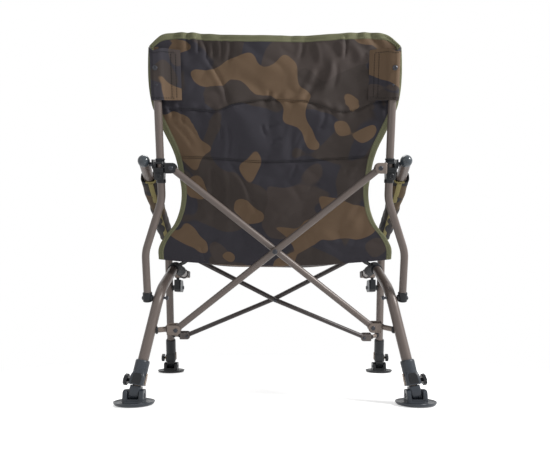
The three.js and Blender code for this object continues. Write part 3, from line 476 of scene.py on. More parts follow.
def effect(name, inputs, outputs):
    """An empty node group with named sockets, and its two ends."""
    tree = bpy.data.node_groups.new(name, "ShaderNodeTree")
    for label, kind, value in inputs:
        socket = tree.interface.new_socket(name=label, in_out="INPUT", socket_type="NodeSocket" + kind)
        if value is not None:
            socket.default_value = value
    for label, kind in outputs:
        tree.interface.new_socket(name=label, in_out="OUTPUT", socket_type="NodeSocket" + kind)
    return tree, tree.nodes.new("NodeGroupInput").outputs, tree.nodes.new("NodeGroupOutput").inputs


def noise(tree, vector, scale, detail=2.0, roughness=0.5, distortion=0.0):
    """Soft noise from 0 to 1 over a place."""
    sockets = {"Vector": vector, "Scale": scale, "Detail": detail, "Roughness": roughness,
               "Distortion": distortion}
    return add(tree, "TexNoise", sockets).outputs["Fac"]


def make_weave():
    """Plain weave: threads cross at right angles, each a row of bumps half a thread out of step with the next
    row."""
    tree, given, out = effect("plain weave", [("Vector", "Vector", None), ("Threads", "Float", 1800.0)],
                              [("Height", "Float"), ("Tone", "Float")])
    spot = add(tree, "SeparateXYZ", {0: given["Vector"]}).outputs
    across = calc(tree, "SINE", calc(tree, "MULTIPLY", spot["X"], given["Threads"]))
    along_it = calc(tree, "SINE", calc(tree, "MULTIPLY", spot["Y"], given["Threads"]))
    cross = calc(tree, "MULTIPLY", across, along_it)
    slub = noise(tree, given["Vector"], 900.0, 3.0)
    tree.links.new(calc(tree, "ADD", calc(tree, "MULTIPLY", cross, 0.5), slub), out["Height"])
    tree.links.new(calc(tree, "ADD", calc(tree, "MULTIPLY", slub, 0.5), 0.75), out["Tone"])
    return tree


def make_print():
    """Camouflage print: three layers of large soft noise, each cut at a level into round blotches over a dark
    ground."""
    tree, given, out = effect(
        "camouflage print",
        [("Vector", "Vector", None), ("Size", "Float", 9.0), ("Ground", "Color", None),
         ("Brown", "Color", None),
         ("Tan", "Color", None), ("Drab", "Color", None)], [("Color", "Color"), ("Tan mask", "Float")])
    place = given["Vector"]
    coarse = noise(tree, place, given["Size"], 1.1, 0.42, 0.25)
    other = add(tree, "VectorMath", {0: place, 1: (3.7, 8.1, 2.9)}, operation="ADD").outputs[0]
    third = add(tree, "VectorMath", {0: place, 1: (9.3, 1.7, 6.2)}, operation="ADD").outputs[0]
    brown = noise(tree, other, calc(tree, "MULTIPLY", given["Size"], 0.8), 1.2, 0.45, 0.3)
    drab = noise(tree, third, calc(tree, "MULTIPLY", given["Size"], 0.9), 1.0, 0.4, 0.2)
    layer = blend_colour(tree, step_mask(tree, brown, 0.53, 0.006), given["Ground"], given["Brown"])
    layer = blend_colour(tree, step_mask(tree, drab, 0.6, 0.006), layer, given["Drab"])
    tan = step_mask(tree, coarse, 0.575, 0.004)
    tree.links.new(blend_colour(tree, tan, layer, given["Tan"]), out["Color"])
    tree.links.new(tan, out["Tan mask"])
    return tree


def make_grain():
    """Fine grain of a moulded or painted surface, with broad faint patches for handling and dust."""
    tree, given, out = effect("surface grain", [("Vector", "Vector", None), ("Grain", "Float", 900.0)],
                              [("Height", "Float"), ("Patches", "Float"), ("Specks", "Float")])
    fine = noise(tree, given["Vector"], given["Grain"], 2.0)
    tree.links.new(fine, out["Height"])
    tree.links.new(noise(tree, given["Vector"], 14.0, 4.0, 0.6), out["Patches"])
    tree.links.new(step_mask(tree, noise(tree, given["Vector"], 260.0, 3.0, 0.7), 0.72, 0.04), out["Specks"])
    return tree


WEAVE, PRINT, GRAIN = make_weave(), make_print(), make_grain()


def new_material(name, **shader):
    """A material with its tree and its main shader, whose sockets are set by name, with _ for a space."""
    made = bpy.data.materials.new(name)
    made.use_nodes = True
    principled = made.node_tree.nodes["Principled BSDF"]
    for key, value in shader.items():
        principled.inputs[key.replace("_", " ")].default_value = value
    return made, made.node_tree, principled


def use(tree, group_tree, sockets):
    """The outputs of one of the effects, used in a tree with its sockets set."""
    return add(tree, "Group", sockets, node_tree=group_tree).outputs


def raise_surface(tree, principled, height, strength, distance):
    """Shows a height on a finish as a bump."""
    bump = add(tree, "Bump", {"Strength": strength, "Distance": distance, "Height": height})
    tree.links.new(bump.outputs[0], principled.inputs["Normal"])


def lighter(colour, factor, lift):
    """A colour made lighter by a factor and a small lift, at most white."""
    return tuple(min(1.0, c * factor + lift) for c in colour[:3]) + (1.0,)


def hard_finish(name, colour, roughness, metallic=0.0, grain=900.0, depth=0.00002, patch=0.12, speck=0.1,
                **shader):
    """Paint, plastic or metal: its colour lightens a little in patches, its gloss follows them, and fine
    grain raises it."""
    made, tree, principled = new_material(name, Metallic=metallic, **shader)
    place = add(tree, "TexCoord").outputs["Object"]
    effects = use(tree, GRAIN, {"Vector": place, "Grain": grain})
    light = lighter(colour, 1.45, 0.01)
    dust = tuple(0.5 * c + 0.5 * d for c, d in zip(colour[:3], (0.36, 0.33, 0.3))) + (1.0,)
    tone = blend_colour(tree, calc(tree, "MULTIPLY", effects["Patches"], patch * 2), colour, light)
    tone = blend_colour(tree, calc(tree, "MULTIPLY", effects["Specks"], speck), tone, dust)
    tree.links.new(tone, principled.inputs["Base Color"])
    gloss = calc(tree, "ADD", calc(tree, "MULTIPLY", calc(tree, "SUBTRACT", effects["Patches"], 0.5), 0.16),
                 roughness)
    tree.links.new(gloss, principled.inputs["Roughness"])
    raise_surface(tree, principled, effects["Height"], 0.6, depth)
    return made


def cloth_finish(name, colours, size=8.5, by_surface=True, threads=3500.0, offset=(0.0, 0.0, 0.0)):
    """Printed cloth: camouflage blotches with a faint thread tone, a soft sheen and the weave's bump."""
    made, tree, principled = new_material(name, Roughness=0.72, Sheen_Weight=0.05, Sheen_Roughness=0.5,
                                          Specular_IOR_Level=0.18)
    where = add(tree, "TexCoord").outputs
    place = where["UV"] if by_surface else where["Object"]
    placed = add(tree, "Mapping", {"Vector": place, "Location": offset}).outputs[0]
    ground, brown, tan, drab = colours
    printed = use(tree, PRINT, {"Vector": placed, "Size": size, "Ground": ground, "Brown": brown, "Tan": tan,
                                "Drab": drab})
    weave = use(tree, WEAVE, {"Vector": place, "Threads": threads})
    worn = add(tree, "HueSaturation", {"Color": printed["Color"], "Value": weave["Tone"]}).outputs[0]
    tree.links.new(worn, principled.inputs["Base Color"])
    raise_surface(tree, principled, weave["Height"], 0.5, 0.00012)
    return made


def tape_finish(name, colour, ribs=2200.0, roughness=0.85):
    """Woven tape or webbing: ribs across its length, each crest made lighter as a painted highlight, from its
    own places on the surface."""
    made, tree, principled = new_material(name, Roughness=roughness, Sheen_Weight=0.08,
                                          Specular_IOR_Level=0.2)
    place = add(tree, "TexCoord").outputs["UV"]
    weave = use(tree, WEAVE, {"Vector": place, "Threads": ribs})
    # Painted highlight: the rib crests are blended towards a lighter colour, more strongly in random patches.
    light = lighter(colour, 1.5, 0.008)
    rib = calc(tree, "MULTIPLY", weave["Height"], 0.6)
    patch = noise(tree, place, 30.0, 3.0, 0.6)
    tone = blend_colour(tree, calc(tree, "MULTIPLY", rib, calc(tree, "ADD", patch, 0.3)), colour, light)
    tree.links.new(tone, principled.inputs["Base Color"])
    raise_surface(tree, principled, weave["Height"], 0.7, 0.0003)
    return made


CAMOUFLAGE = (paint(0x36343A), paint(0x3F3835), paint(0x685543), paint(0x463E3B))
CAMOUFLAGE_DEEP = (paint(0x2A282B), paint(0x332D2A), paint(0x54442F), paint(0x38312D))
tube_paint = hard_finish("satin taupe tube", paint(0x665C57), 0.36, 0.1, Specular_IOR_Level=0.4)
# Front crossed tubes: the frame's taupe darkened as painted shade.
shaded_front_tube_paint = hard_finish("taupe tube in painted shade", paint(0x3E3837), 0.36, 0.1, Specular_IOR_Level=0.35)
# Brackets: the frame's taupe made lighter as painted light.
lit_bracket_paint = hard_finish("taupe bracket with painted light", paint(0x73675F), 0.38, 0.2, patch=0.18)
inner_leg_paint = hard_finish("tan inner leg", paint(0x9A8878), 0.4, 0.3)
bolt_steel = hard_finish("dull bolt", paint(0x3C3D42), 0.3, 0.7, grain=1500.0)
# Front bracket plates: the bracket taupe darkened as painted shade.
shaded_clevis_paint = hard_finish("taupe clevis in painted shade", paint(0x4E4744), 0.38, 0.2, patch=0.18)
moulding = hard_finish("blue grey moulding", paint(0x33383F), 0.34, Specular_IOR_Level=0.35, patch=0.16,
                       speck=0.15, depth=0.00004)
dark_moulding = hard_finish("black moulding", paint(0x191B1E), 0.32, Specular_IOR_Level=0.3, patch=0.1,
                            depth=0.00004)
ball_moulding = hard_finish("smooth grip ball", paint(0x3C4349), 0.2, patch=0.1, speck=0.05)
brass = hard_finish("brass washer", paint(0xB08A3C), 0.3, 0.9)
back_print = cloth_finish("printed sling cloth", CAMOUFLAGE, offset=(0.62, 0.18, 0.0))
seat_print = cloth_finish("printed seat cloth", CAMOUFLAGE, offset=(2.1, 0.7, 0.0))
pocket_print = cloth_finish("printed pocket cloth", CAMOUFLAGE, size=9.5, offset=(0.31, 0.05, 0.4))
sleeve_print = cloth_finish("printed sleeve cloth", CAMOUFLAGE_DEEP, size=9.0, by_surface=False,
                            offset=(0.4, 0.9, 0.2))
olive_tape = tape_finish("olive binding tape", paint(0x6A6B52))
khaki_tape = tape_finish("khaki sleeve tape", paint(0x857B4F))
black_webbing = tape_finish("black webbing", paint(0x1E1F22), ribs=1800.0)
black_lining = tape_finish("black lining", paint(0x17181A), ribs=3200.0)
dark_thread = tape_finish("dark thread", paint(0x0F100E), ribs=6000.0)
olive_thread = tape_finish("olive thread", paint(0x8A8768), ribs=6000.0)


# Frame tubes
def rear_leg_path(side):
    """The middle line of a rear leg, which bends at the knee into the seat rail."""
    ankle, knee = np.array(REAR_ANKLE), np.array(REAR_KNEE)
    start = ankle + LEG_START * unit(knee - ankle)
    path = bent_path([start, knee, RAIL_CREST, RAIL_END], [KNEE_BEND, RAIL_BEND])
    return path * (side, 1, 1)


def arm_bend():
    """Where the front leg would meet the arm without their bend: up the leg's lean to the arm's height."""
    rise = ARM_FRONT_Z - FRONT_ANKLE[2]
    return np.array([ARM_FRONT_X, FRONT_ANKLE[1] - rise * math.tan(math.radians(FRONT_LEAN)), ARM_FRONT_Z])


def front_leg_path(side):
    """The middle line of a front leg, which bends back into the arm."""
    ankle, bend = np.array(FRONT_ANKLE), arm_bend()
    start = ankle + LEG_START * unit(bend - ankle)
    return bent_path([start, bend, ARM_REAR], [ARM_BEND]) * (side, 1, 1)


def leg_axes(where, side):
    """A leg's ankle and the direction up it."""
    low, high = (REAR_ANKLE, REAR_KNEE) if where == "rear" else (FRONT_ANKLE, arm_bend())
    low, high = on_side(low, side), on_side(high, side)
    return low, unit(high - low)


def leg_point(where, side, place_height):
    """Where a leg's middle line crosses a height of the tilted plane that it is near."""
    low, axis = leg_axes(where, side)
    origin_z, lean = (BACK_FOOT[1], BACK_LEAN) if where == "rear" else (FRONT_ANKLE[2], FRONT_LEAN)
    origin_y = BACK_FOOT[0] if where == "rear" else FRONT_ANKLE[1]
    c, s = math.cos(math.radians(lean)), math.sin(math.radians(lean))
    rise = lambda p: -(p[1] - origin_y) * s + (p[2] - origin_z) * c
    a, b = low, low + axis
    return a + (place_height - rise(a)) / (rise(b) - rise(a)) * (b - a)


def name_of(side):
    """The side's name in the names of its pieces."""
    return "right" if side > 0 else "left"


def tubes_of(side):
    """The three bent tubes of a side: leg with rail, leg with arm, and the post."""
    s, body = name_of(side), name_of(side) + "_side"
    out = (side, 0, 0)
    piece(f"{s}_leg_and_rail_tube", [(tube(rear_leg_path(side), LEG_RADIUS, out, 36), tube_paint)], body,
          [f"{s}_rear_leg_rail"])
    piece(f"{s}_leg_and_arm_tube", [(tube(front_leg_path(side), LEG_RADIUS, out, 36), tube_paint)], body,
          [f"{s}_front_leg_arm"])
    post = on_back(bent_path([(side * x, n, v) for x, n, v in POST_CORNERS], [POST_BEND, POST_BEND]))
    piece(f"{s}_post_tube", [(tube(post, POST_RADIUS, (0, 1, 0), 32), tube_paint)], body, [f"{s}_back_post"])


def crossed_tubes():
    """The rear pair of crossed tubes, straight, and the front pair, each bent at the crossing, with moulded
    tips."""
    x, low = REAR_PIVOT
    for name, side, y in (("a", 1, REAR_NEAR), ("b", -1, REAR_FAR)):
        a, b = np.array([-side * x, y, low]), np.array([side * x, y, REAR_TOP])
        reach = BRACE_END * unit(b - a)
        path = on_back(np.array([a - reach, a, b, b + reach]))
        body = f"rear_brace_{name}"
        skins = [(tube(path, BRACE_RADIUS, (0, 1, 0), 28), tube_paint)]
        piece(f"rear_crossed_tube_{name}", skins, body, [body])
    for name, side, y in (("c", 1, FRONT_FAR), ("d", -1, FRONT_NEAR)):
        a = np.array([-side * FRONT_PIVOT[0], y, FRONT_PIVOT[1]])
        cross, tip = np.array([0, y, FRONT_CROSS]), np.array([side * FRONT_TIP[0], y, FRONT_TIP[1]])
        path = on_front(bent_path([a - BRACE_END * unit(cross - a), cross, tip], [KNEE_BEND]))
        # The front pair takes the darkened tube paint as painted shade.
        skins = [(tube(path, BRACE_RADIUS, (0, 1, 0), 28), shaded_front_tube_paint)]
        if name == "d":
            for way in (-1, 1):
                button = [(0, 0), (0, 5.5), (14.2, 5.5), (15, 4), (15, 0)]
                skins.append((turned(on_front(a), on_front(a + (0, way, 0)) - on_front(a), button, 24, 0.3),
                              bolt_steel))
        piece(f"front_crossed_tube_{name}", skins, f"front_brace_{name}", [f"front_brace_{name}"])
        cap = [(-15, 9.4), (-13, 11), (5.5, 11), (8.5, 10), (11.5, 7.6), (13.6, 4), (14, 0)]
        cap_name = "right_tip_cap" if side > 0 else "left_tip_cap"
        direction = unit(on_front(tip) - on_front(cross))
        skins = [(turned(on_front(tip), direction, [(-15, 0)] + cap, 32, 1.2), dark_moulding)]
        piece(f"{cap_name}_moulding", skins, f"front_brace_{name}", [cap_name])


def cross_bolts():
    """Domed bolt heads with a washer under each, at the two places where the tubes cross."""
    for name, place, height, near, far, body in (
            ("rear", on_back, REAR_CROSS, REAR_NEAR, REAR_FAR, "rear_brace_a"),
            ("front", on_front, FRONT_CROSS, FRONT_NEAR, FRONT_FAR, "front_brace_c")):
        low, high = near - BRACE_RADIUS - 0.3, far + BRACE_RADIUS + 0.3
        at = lambda y: place(np.array([0, y, height]))
        skins = [(rod(at(low), at(high), BOLT_RADIUS), bolt_steel)]
        for start, way in ((low, -1), (high, 1)):
            axis = at(start + way) - at(start)
            profile = [(0, 0), (0, 6), (0.8, 6), (0.8, 4.8), (1.8, 4.6), (2.7, 3.2), (3, 1.6), (2.2, 1.4),
                       (2.2, 0)]
            skins.append((turned(at(start), axis, profile, 24, 0.25), bolt_steel))
        piece(f"{name}_crossing_bolt", skins, body, [f"{name}_cross_bolt"])


# Brackets
PLATE_INNER, PLATE_OUTER = 8.5, 11.0
PLATE_HALF = 12.0
WEB = 2.8


def bent_strap(reach):
    """A strip bent to a U round a tube's end: it runs down one side, across the web and up the other, and its
    height is a half disc about the bolt at both free ends, so the ends are round."""
    middle = (PLATE_INNER + PLATE_OUTER) / 2
    back = reach + WEB / 2
    corners = [(-PLATE_HALF, -middle, 0), (back, -middle, 0), (back, middle, 0), (-PLATE_HALF, middle, 0)]
    path = bent_path(corners, [3.2, 3.2], 12)
    dense = []
    for a, b in zip(path, path[1:]):
        count = max(2, int(np.linalg.norm(b - a) / 2.2))
        dense.append(a + (b - a) * np.linspace(0, 1, count, endpoint=False)[:, None])
    path = np.concatenate(dense + [path[-1:]])
    half = np.where(path[:, 0] < 0, np.sqrt(np.maximum(PLATE_HALF**2 - path[:, 0] ** 2, 0.5)), PLATE_HALF)
    thin = (PLATE_OUTER - PLATE_INNER) / 2
    unit_outline = np.array([(1, -0.94), (1, 0.94), (0.7, 1), (-0.7, 1), (-1, 0.94), (-1, -0.94), (-0.7, -1),
                             (0.7, -1)])
    outline = unit_outline[None] * np.stack([np.full(len(path), thin), half], -1)[:, None]
    heading = headings(path)
    return carried(path, outline, np.stack([heading[:, 1], -heading[:, 0], heading[:, 2] * 0], -1))


def bolt_through(y_low, y_high, radius=5.2):
    """A bolt with a domed socket head towards the rear and a nut towards the front."""
    head = [(0, 0), (0, radius), (1.6, radius), (2.8, radius * 0.72), (3, radius * 0.42),
            (1.8, radius * 0.36), (1.8, 0)]
    nut = [(0, 0), (0, radius), (2.4, radius), (2.4, 2.6), (3, 2.2), (3, 0)]
    return [(turned((0, y_low, 0), (0, -1, 0), head, 20, 0.25), bolt_steel),
            (turned((0, y_high, 0), (0, 1, 0), nut, 6, 0.2), bolt_steel),
            (rod((0, y_low, 0), (0, y_high, 0), BOLT_RADIUS), bolt_steel)]


def upper_clevis(side, y):
    """The fork on a knuckle that holds the top of a rear crossed tube."""
    # The left plate gets the black moulding as painted shade; the right keeps the bracket paint.
    plate_paint_shaded_on_left = lit_bracket_paint if side > 0 else dark_moulding
    skins = [(bent_strap(12.6), plate_paint_shaded_on_left)] + bolt_through(-PLATE_OUTER, PLATE_OUTER)
    grip = moulded([(-9.5, 8.4, 1.2, 0, 0), (9.5, 8.4, 1.2, 0, 0)], 0.9, 0.5)
    skins.append((moved(grip, lambda p: p[:, [1, 0, 2]] * (-1, 1, 1) + (13.6, 0.5 * (12 - y) - 2, 0)),
                  lit_bracket_paint))
    skins = mirrored(skins, side)
    pivot = np.array([side * REAR_PIVOT[0], y, REAR_TOP])
    skins = placed(skins, lambda p: on_back(p + pivot))
    s = name_of(side)
    piece(f"{s}_upper_clevis_plate", skins, f"{s}_slider", [f"{s}_upper_clevis"])


def leg_bracket(side, where, y):
    """A U of bent plate on a stub that stands off the leg: dark rings on both ends of the stub, a paler
    sleeve between."""
    s = name_of(side)
    rear = where == "rear"
    span, height = REAR_PIVOT if rear else FRONT_PIVOT
    place = on_back if rear else on_front
    reach = REAR_REACH if rear else FRONT_REACH
    pivot = np.array([side * span, y, height])
    # The front plates take the darkened bracket paint as painted shade.
    skins = [(bent_strap(reach), lit_bracket_paint if rear else shaded_clevis_paint)]
    if rear or side < 0:
        skins += bolt_through(-PLATE_OUTER, PLATE_OUTER)
    skins = mirrored(skins, side)
    skins = placed(skins, lambda p: place(p + pivot))
    web = place(pivot + (side * (reach + WEB), 0, 0))
    leg = leg_point(where, side, height)
    length = float(np.linalg.norm(leg - web)) - LEG_RADIUS
    skins.append((turned(web, leg - web, [(-1, 0), (-1, 6.5), (length + 2, 6.5), (length + 2, 0)], 24, 0.4),
                  lit_bracket_paint))
    for a, b, r in ((-0.6, 3.0, 8.4), (length - 4.6, length + 0.8, 9.4)):
        ring_profile = [(a, 0), (a, r - 1), (a + 0.8, r), (b - 0.8, r), (b, r - 0.8), (b, 0)]
        skins.append((turned(web, leg - web, ring_profile, 28, 0.4), dark_moulding))
    piece(f"{s}_{where}_bracket_plate", skins, f"{s}_side", [f"{s}_{where}_bracket"])


# Sliding knuckle with its hook, and the peg that it hooks over
def knuckle_of(side):
    """Three moulded storeys on the post: a block with a screw, a wider band, and a collar with a turned
    rim."""
    h, x = KNUCKLE_HEIGHT, KNUCKLE_X
    post = POST_HALF_SPAN
    low = moulded([(h - 21, 10.2, 14.8, x, 0), (h - 10, 10.8, 15.4, x, 0), (h - 4, 11.2, 15.6, x, 0)], 4.5,
                  1.2)
    band = moulded([(h - 4.2, 13.2, 17, x, 0), (h + 7, 13.2, 17, x, 0)], 5, 1.0)
    rib = moulded([(h + 1.4, 13.0, 17.6, x, -0.6), (h + 4.2, 13.0, 17.6, x, -0.6)], 5, 0.7)
    window = moulded([(h + 6.6, 9, 7, x, 2), (h + 17, 8.6, 6.6, x - 0.6, 2)], 2, 0.5)
    cheeks = [moulded([(h + 6.6, 2.6, 14.4, x + 9 * way, 0), (h + 17, 2.4, 13.0, x + 8.6 * way - 0.6, 0)], 2,
                      0.7) for way in (-1, 1)]
    top = moulded([(h + 15.6, 11.4, 13.6, x - 0.6, 0), (h + 20.5, 10.8, 12.8, x - 0.8, 0)], 5, 0.9)
    rim = [(h + 20, 0), (h + 20, 9.6), (h + 23.6, 9.8), (h + 24.4, 10.9), (h + 27.2, 10.9), (h + 28, 10.2),
           (h + 28, 0)]
    collar = turned((post, 0, 0), UP, rim, 32, 0.4)
    foot_ring = turned((post, 0, 0), UP,
                       [(h - 28, 0), (h - 28, 10.2), (h - 27, 10.9), (h - 20, 10.9), (h - 20, 0)], 32, 0.4)
    head = [(0, 0), (0, 6.6), (1.9, 6.6), (3.2, 5), (3.3, 2.8), (2.4, 2.6), (2.4, 0)]
    screw = turned((x, -14.6, h - 12.5), (0, -1, 0), head, 24, 0.3)
    hub = turned((KNUCKLE_INNER + 1, 0, REAR_TOP), (-1, 0, 0), [(0, 0), (0, 8.6), (1.1, 8.6), (1.1, 0)], 24,
                 0.2)
    skins = [(k, dark_moulding) for k in (low, band, rib, window, *cheeks, top, collar, foot_ring, hub,
                                          screw)]
    skins = placed(mirrored(skins, side), on_back)
    s = name_of(side)
    piece(f"{s}_knuckle_moulding", skins, f"{s}_slider", [f"{s}_knuckle"], crease=32)
    front = PEG_FORWARD + 9
    low_v, high_v = PEG_HEIGHT - 11, PEG_HEIGHT + 11
    rear_n = front - 30
    slot = 4.1
    a = np.linspace(0, np.pi, 13)
    arch = np.stack([PEG_FORWARD - slot * np.cos(a), PEG_HEIGHT + slot * np.sin(a)], -1)
    corners = [(rear_n, high_v), (rear_n, low_v + 2), (rear_n + 4, low_v), (PEG_FORWARD - slot, low_v)]
    finger = [(PEG_FORWARD + slot, low_v), (front - 1, low_v), (front, low_v + 3), (front, high_v - 3),
              (front - 3, high_v)]
    outline = np.concatenate([corners, arch, finger])
    blade = laid(plate(outline, HOOK_OUTER - HOOK_INNER, 0.6), (HOOK_INNER + HOOK_OUTER) / 2)
    skins = placed(mirrored([(blade, dark_moulding)], side), on_back)
    piece(f"{s}_hook_blade", skins, f"{s}_slider", [f"{s}_arm_hook"])


def peg_of(side):
    """The peg that stands inwards from the arm, with a neck for the hook."""
    s = name_of(side)
    path = front_leg_path(side)
    a, b = path[-2], path[-1]
    lean = math.radians(BACK_LEAN)
    inverse_n = lambda p: (p[1] - BACK_FOOT[0]) * math.cos(lean) + (p[2] - BACK_FOOT[1]) * math.sin(lean)
    t = (PEG_FORWARD - inverse_n(a)) / (inverse_n(b) - inverse_n(a))
    root = a + t * (b - a)
    tip = on_back(np.array([side * (HOOK_INNER + 0.3), PEG_FORWARD, PEG_HEIGHT]))
    aim = on_back(np.array([root[0], PEG_FORWARD, PEG_HEIGHT]))
    length = abs(aim[0] - tip[0]) - LEG_RADIUS + 1
    profile = [(0, 0), (0, 2.6), (0.7, 3.4), (4.4, 3.4), (4.6, 5.5), (length, 5.5), (length, 0)]
    piece(f"{s}_hook_peg", [(turned(tip, aim - tip, profile, 24, 0.3), bolt_steel)], f"{s}_side",
          [f"{s}_arm_peg"])


def ball_of(side):
    """The grip ball: a turned cup on the tube's end that swells into a round head."""
    s = name_of(side)
    path = front_leg_path(side)
    axis = unit(path[-1] - path[-2])
    a = np.linspace(-0.35 * np.pi, 0.5 * np.pi, 16)
    head = [(14 * math.sin(t), 14 * math.cos(t)) for t in a]
    profile = [(-6, 0), (-6, 13.0), (-5.2, 13.6), (-2.4, 13.9)] + [h for h in head if h[0] > -1.5]
    piece(f"{s}_grip_ball", [(turned(path[-1], axis, profile, 40, 0.3), ball_moulding)], f"{s}_side",
          [f"{s}_arm_ball"], 60)


def post_cap_of(side):
    """The moulded cap on a post's foot, with the bolt that ties it to the leg."""
    s = name_of(side)
    x = side * POST_FOOT_X
    v0 = -8.3
    cap = [(v0 - 2, 0), (v0 - 2, 9.6), (v0 - 0.4, 11.3), (12.6, 11.3), (13.2, 10.4), (13.2, 9.0), (13.9, 9.0),
           (13.9, 0)]
    skins = [(turned((x, 0, 0), UP, cap, 32, 0.6), dark_moulding)]
    outer = x + side * 10.6
    head = [(0, 0), (0, 5.4), (1.4, 5.4), (2.4, 4), (3.6, 2), (3.6, 0)]
    skins.append((turned((outer, 0, -1), (side, 0, 0), head, 20, 0.3), bolt_steel))
    leg_x = POST_FOOT_X - 2 * 11.3 - 2 * LEG_RADIUS
    nut = [(-3, 0), (-3, 5.4), (1.6, 5.4), (3, 3.4), (3, 0)]
    skins.append((turned((side * leg_x, 0, -1), (-side, 0, 0), nut, 20, 0.3), bolt_steel))
    skins.append((rod((side * (leg_x - 0.5), 0, -1), (outer, 0, -1), BOLT_RADIUS), bolt_steel))
    skins.append((turned((x - side * 8, 0, -1), (-side, 0, 0), [(0, 0), (0, 7.4), (5.2, 7.4), (5.2, 0)], 24,
                         0.4), dark_moulding))
    piece(f"{s}_post_cap_moulding", placed(skins, on_back), f"{s}_side", [f"{s}_post_foot_cap"])


# Link from the seat rail to the front leg
def link_of(side):
    """The link: a bracket with a socket on the rail's end, and a moulded block below it, bolted to the front
    leg."""
    s = name_of(side)
    rail = rear_leg_path(1)
    axis = unit(rail[-1] - rail[-2])
    z = RAIL_END[2]
    y0, y1 = LINK_BAR_Y
    middle_y = (y0 + y1) / 2
    bar = moulded([(289, 11.5, 11.5), (291, 11.5, 11.5), (334, 11.5, 11.5), (336, 11.5, 11.5)], 3, 1.0)
    bar = laid(bar, 0, middle_y, z)
    socket = turned(rail[-1], axis, [(-22, 0), (-22, 13.2), (-21, 15.5), (-1, 15.5), (0.8, 14.5), (0.8, 0)],
                    32, 0.5)
    rim = turned(rail[-1], axis, [(-23.4, 0), (-23.4, 14.6), (-20, 16), (-18, 15.4), (-18, 0)], 32, 0.4)
    end_plug = moulded([(287, 10.2, 10.2), (289.6, 10.2, 10.2)], 3, 0.8)
    end_plug = laid(end_plug, 0.4, middle_y, z)
    skins = [(bar, lit_bracket_paint), (socket, lit_bracket_paint), (rim, dark_moulding), (end_plug, dark_moulding)]
    piece(f"{s}_link_bracket", mirrored(skins, side), f"{s}_side", [f"{s}_link_clevis"])
    leg = front_leg_path(1)
    low, high = leg[0], leg[1]
    bolt_z = z - 43
    at_leg = low + (high - low) * (bolt_z - low[2]) / (high[2] - low[2])
    front_y = at_leg[1] + 12.4
    block_middle = (y0 + front_y) / 2
    half = (front_y - y0) / 2
    body = moulded([(z - 58, 10.5, half - 5, LINK_X, block_middle + 3),
                    (z - 50, 10.5, half, LINK_X, block_middle),
                    (z - 30, 10.5, half, LINK_X, block_middle),
                    (z - 18, 10.5, half - 3, LINK_X, block_middle - 3)],
                   3.5, 1.2)
    pin = turned((LINK_X, middle_y, z - 23), UP, [(0, 0), (0, 5), (13.6, 5), (14.2, 4.2), (14.2, 0)], 20, 0.4)
    corners = [(y0 + 3, z - 19), (y0 + 3, z - 55), (front_y - 4, z - 55), (front_y - 4, z - 34),
               (y0 + 26, z - 19)]
    cheek = laid(plate(eased(corners, 5, True), 1.6, 0.5), 316.6)
    start = np.array([LINK_OUTER, at_leg[1], at_leg[2]])
    length = at_leg[0] - LINK_OUTER - LEG_RADIUS
    stepped = [(0, 0), (0, 6.5), (length - 3.5, 6.5), (length - 3.5, 9.4), (length + 1, 9.4), (length + 1, 0)]
    stub = turned(start, (1, 0, 0), stepped, 28, 0.4)
    nut = turned((315.8, at_leg[1], at_leg[2]), (-1, 0, 0), [(0, 0), (0, 6), (2.6, 6), (3, 5), (3, 0)], 20,
                 0.3)
    skins = [(body, dark_moulding), (pin, dark_moulding), (cheek, moulding), (stub, dark_moulding),
             (nut, bolt_steel)]
    piece(f"{s}_link_moulding", mirrored(skins, side), f"{s}_side", [f"{s}_link_block"], crease=32)


# Adjustable legs, each in its leg's own axes
def knob_outline(radius, lobes=8, count=96):
    """A round with shallow finger lobes: its radius dips by a small share as a cosine of the lobe angle."""
    a = 2 * np.pi * np.arange(count) / count
    r = radius * (1 - 0.035 * (1 - np.cos(lobes * a)))
    return np.stack([r * np.cos(a), r * np.sin(a)], -1)


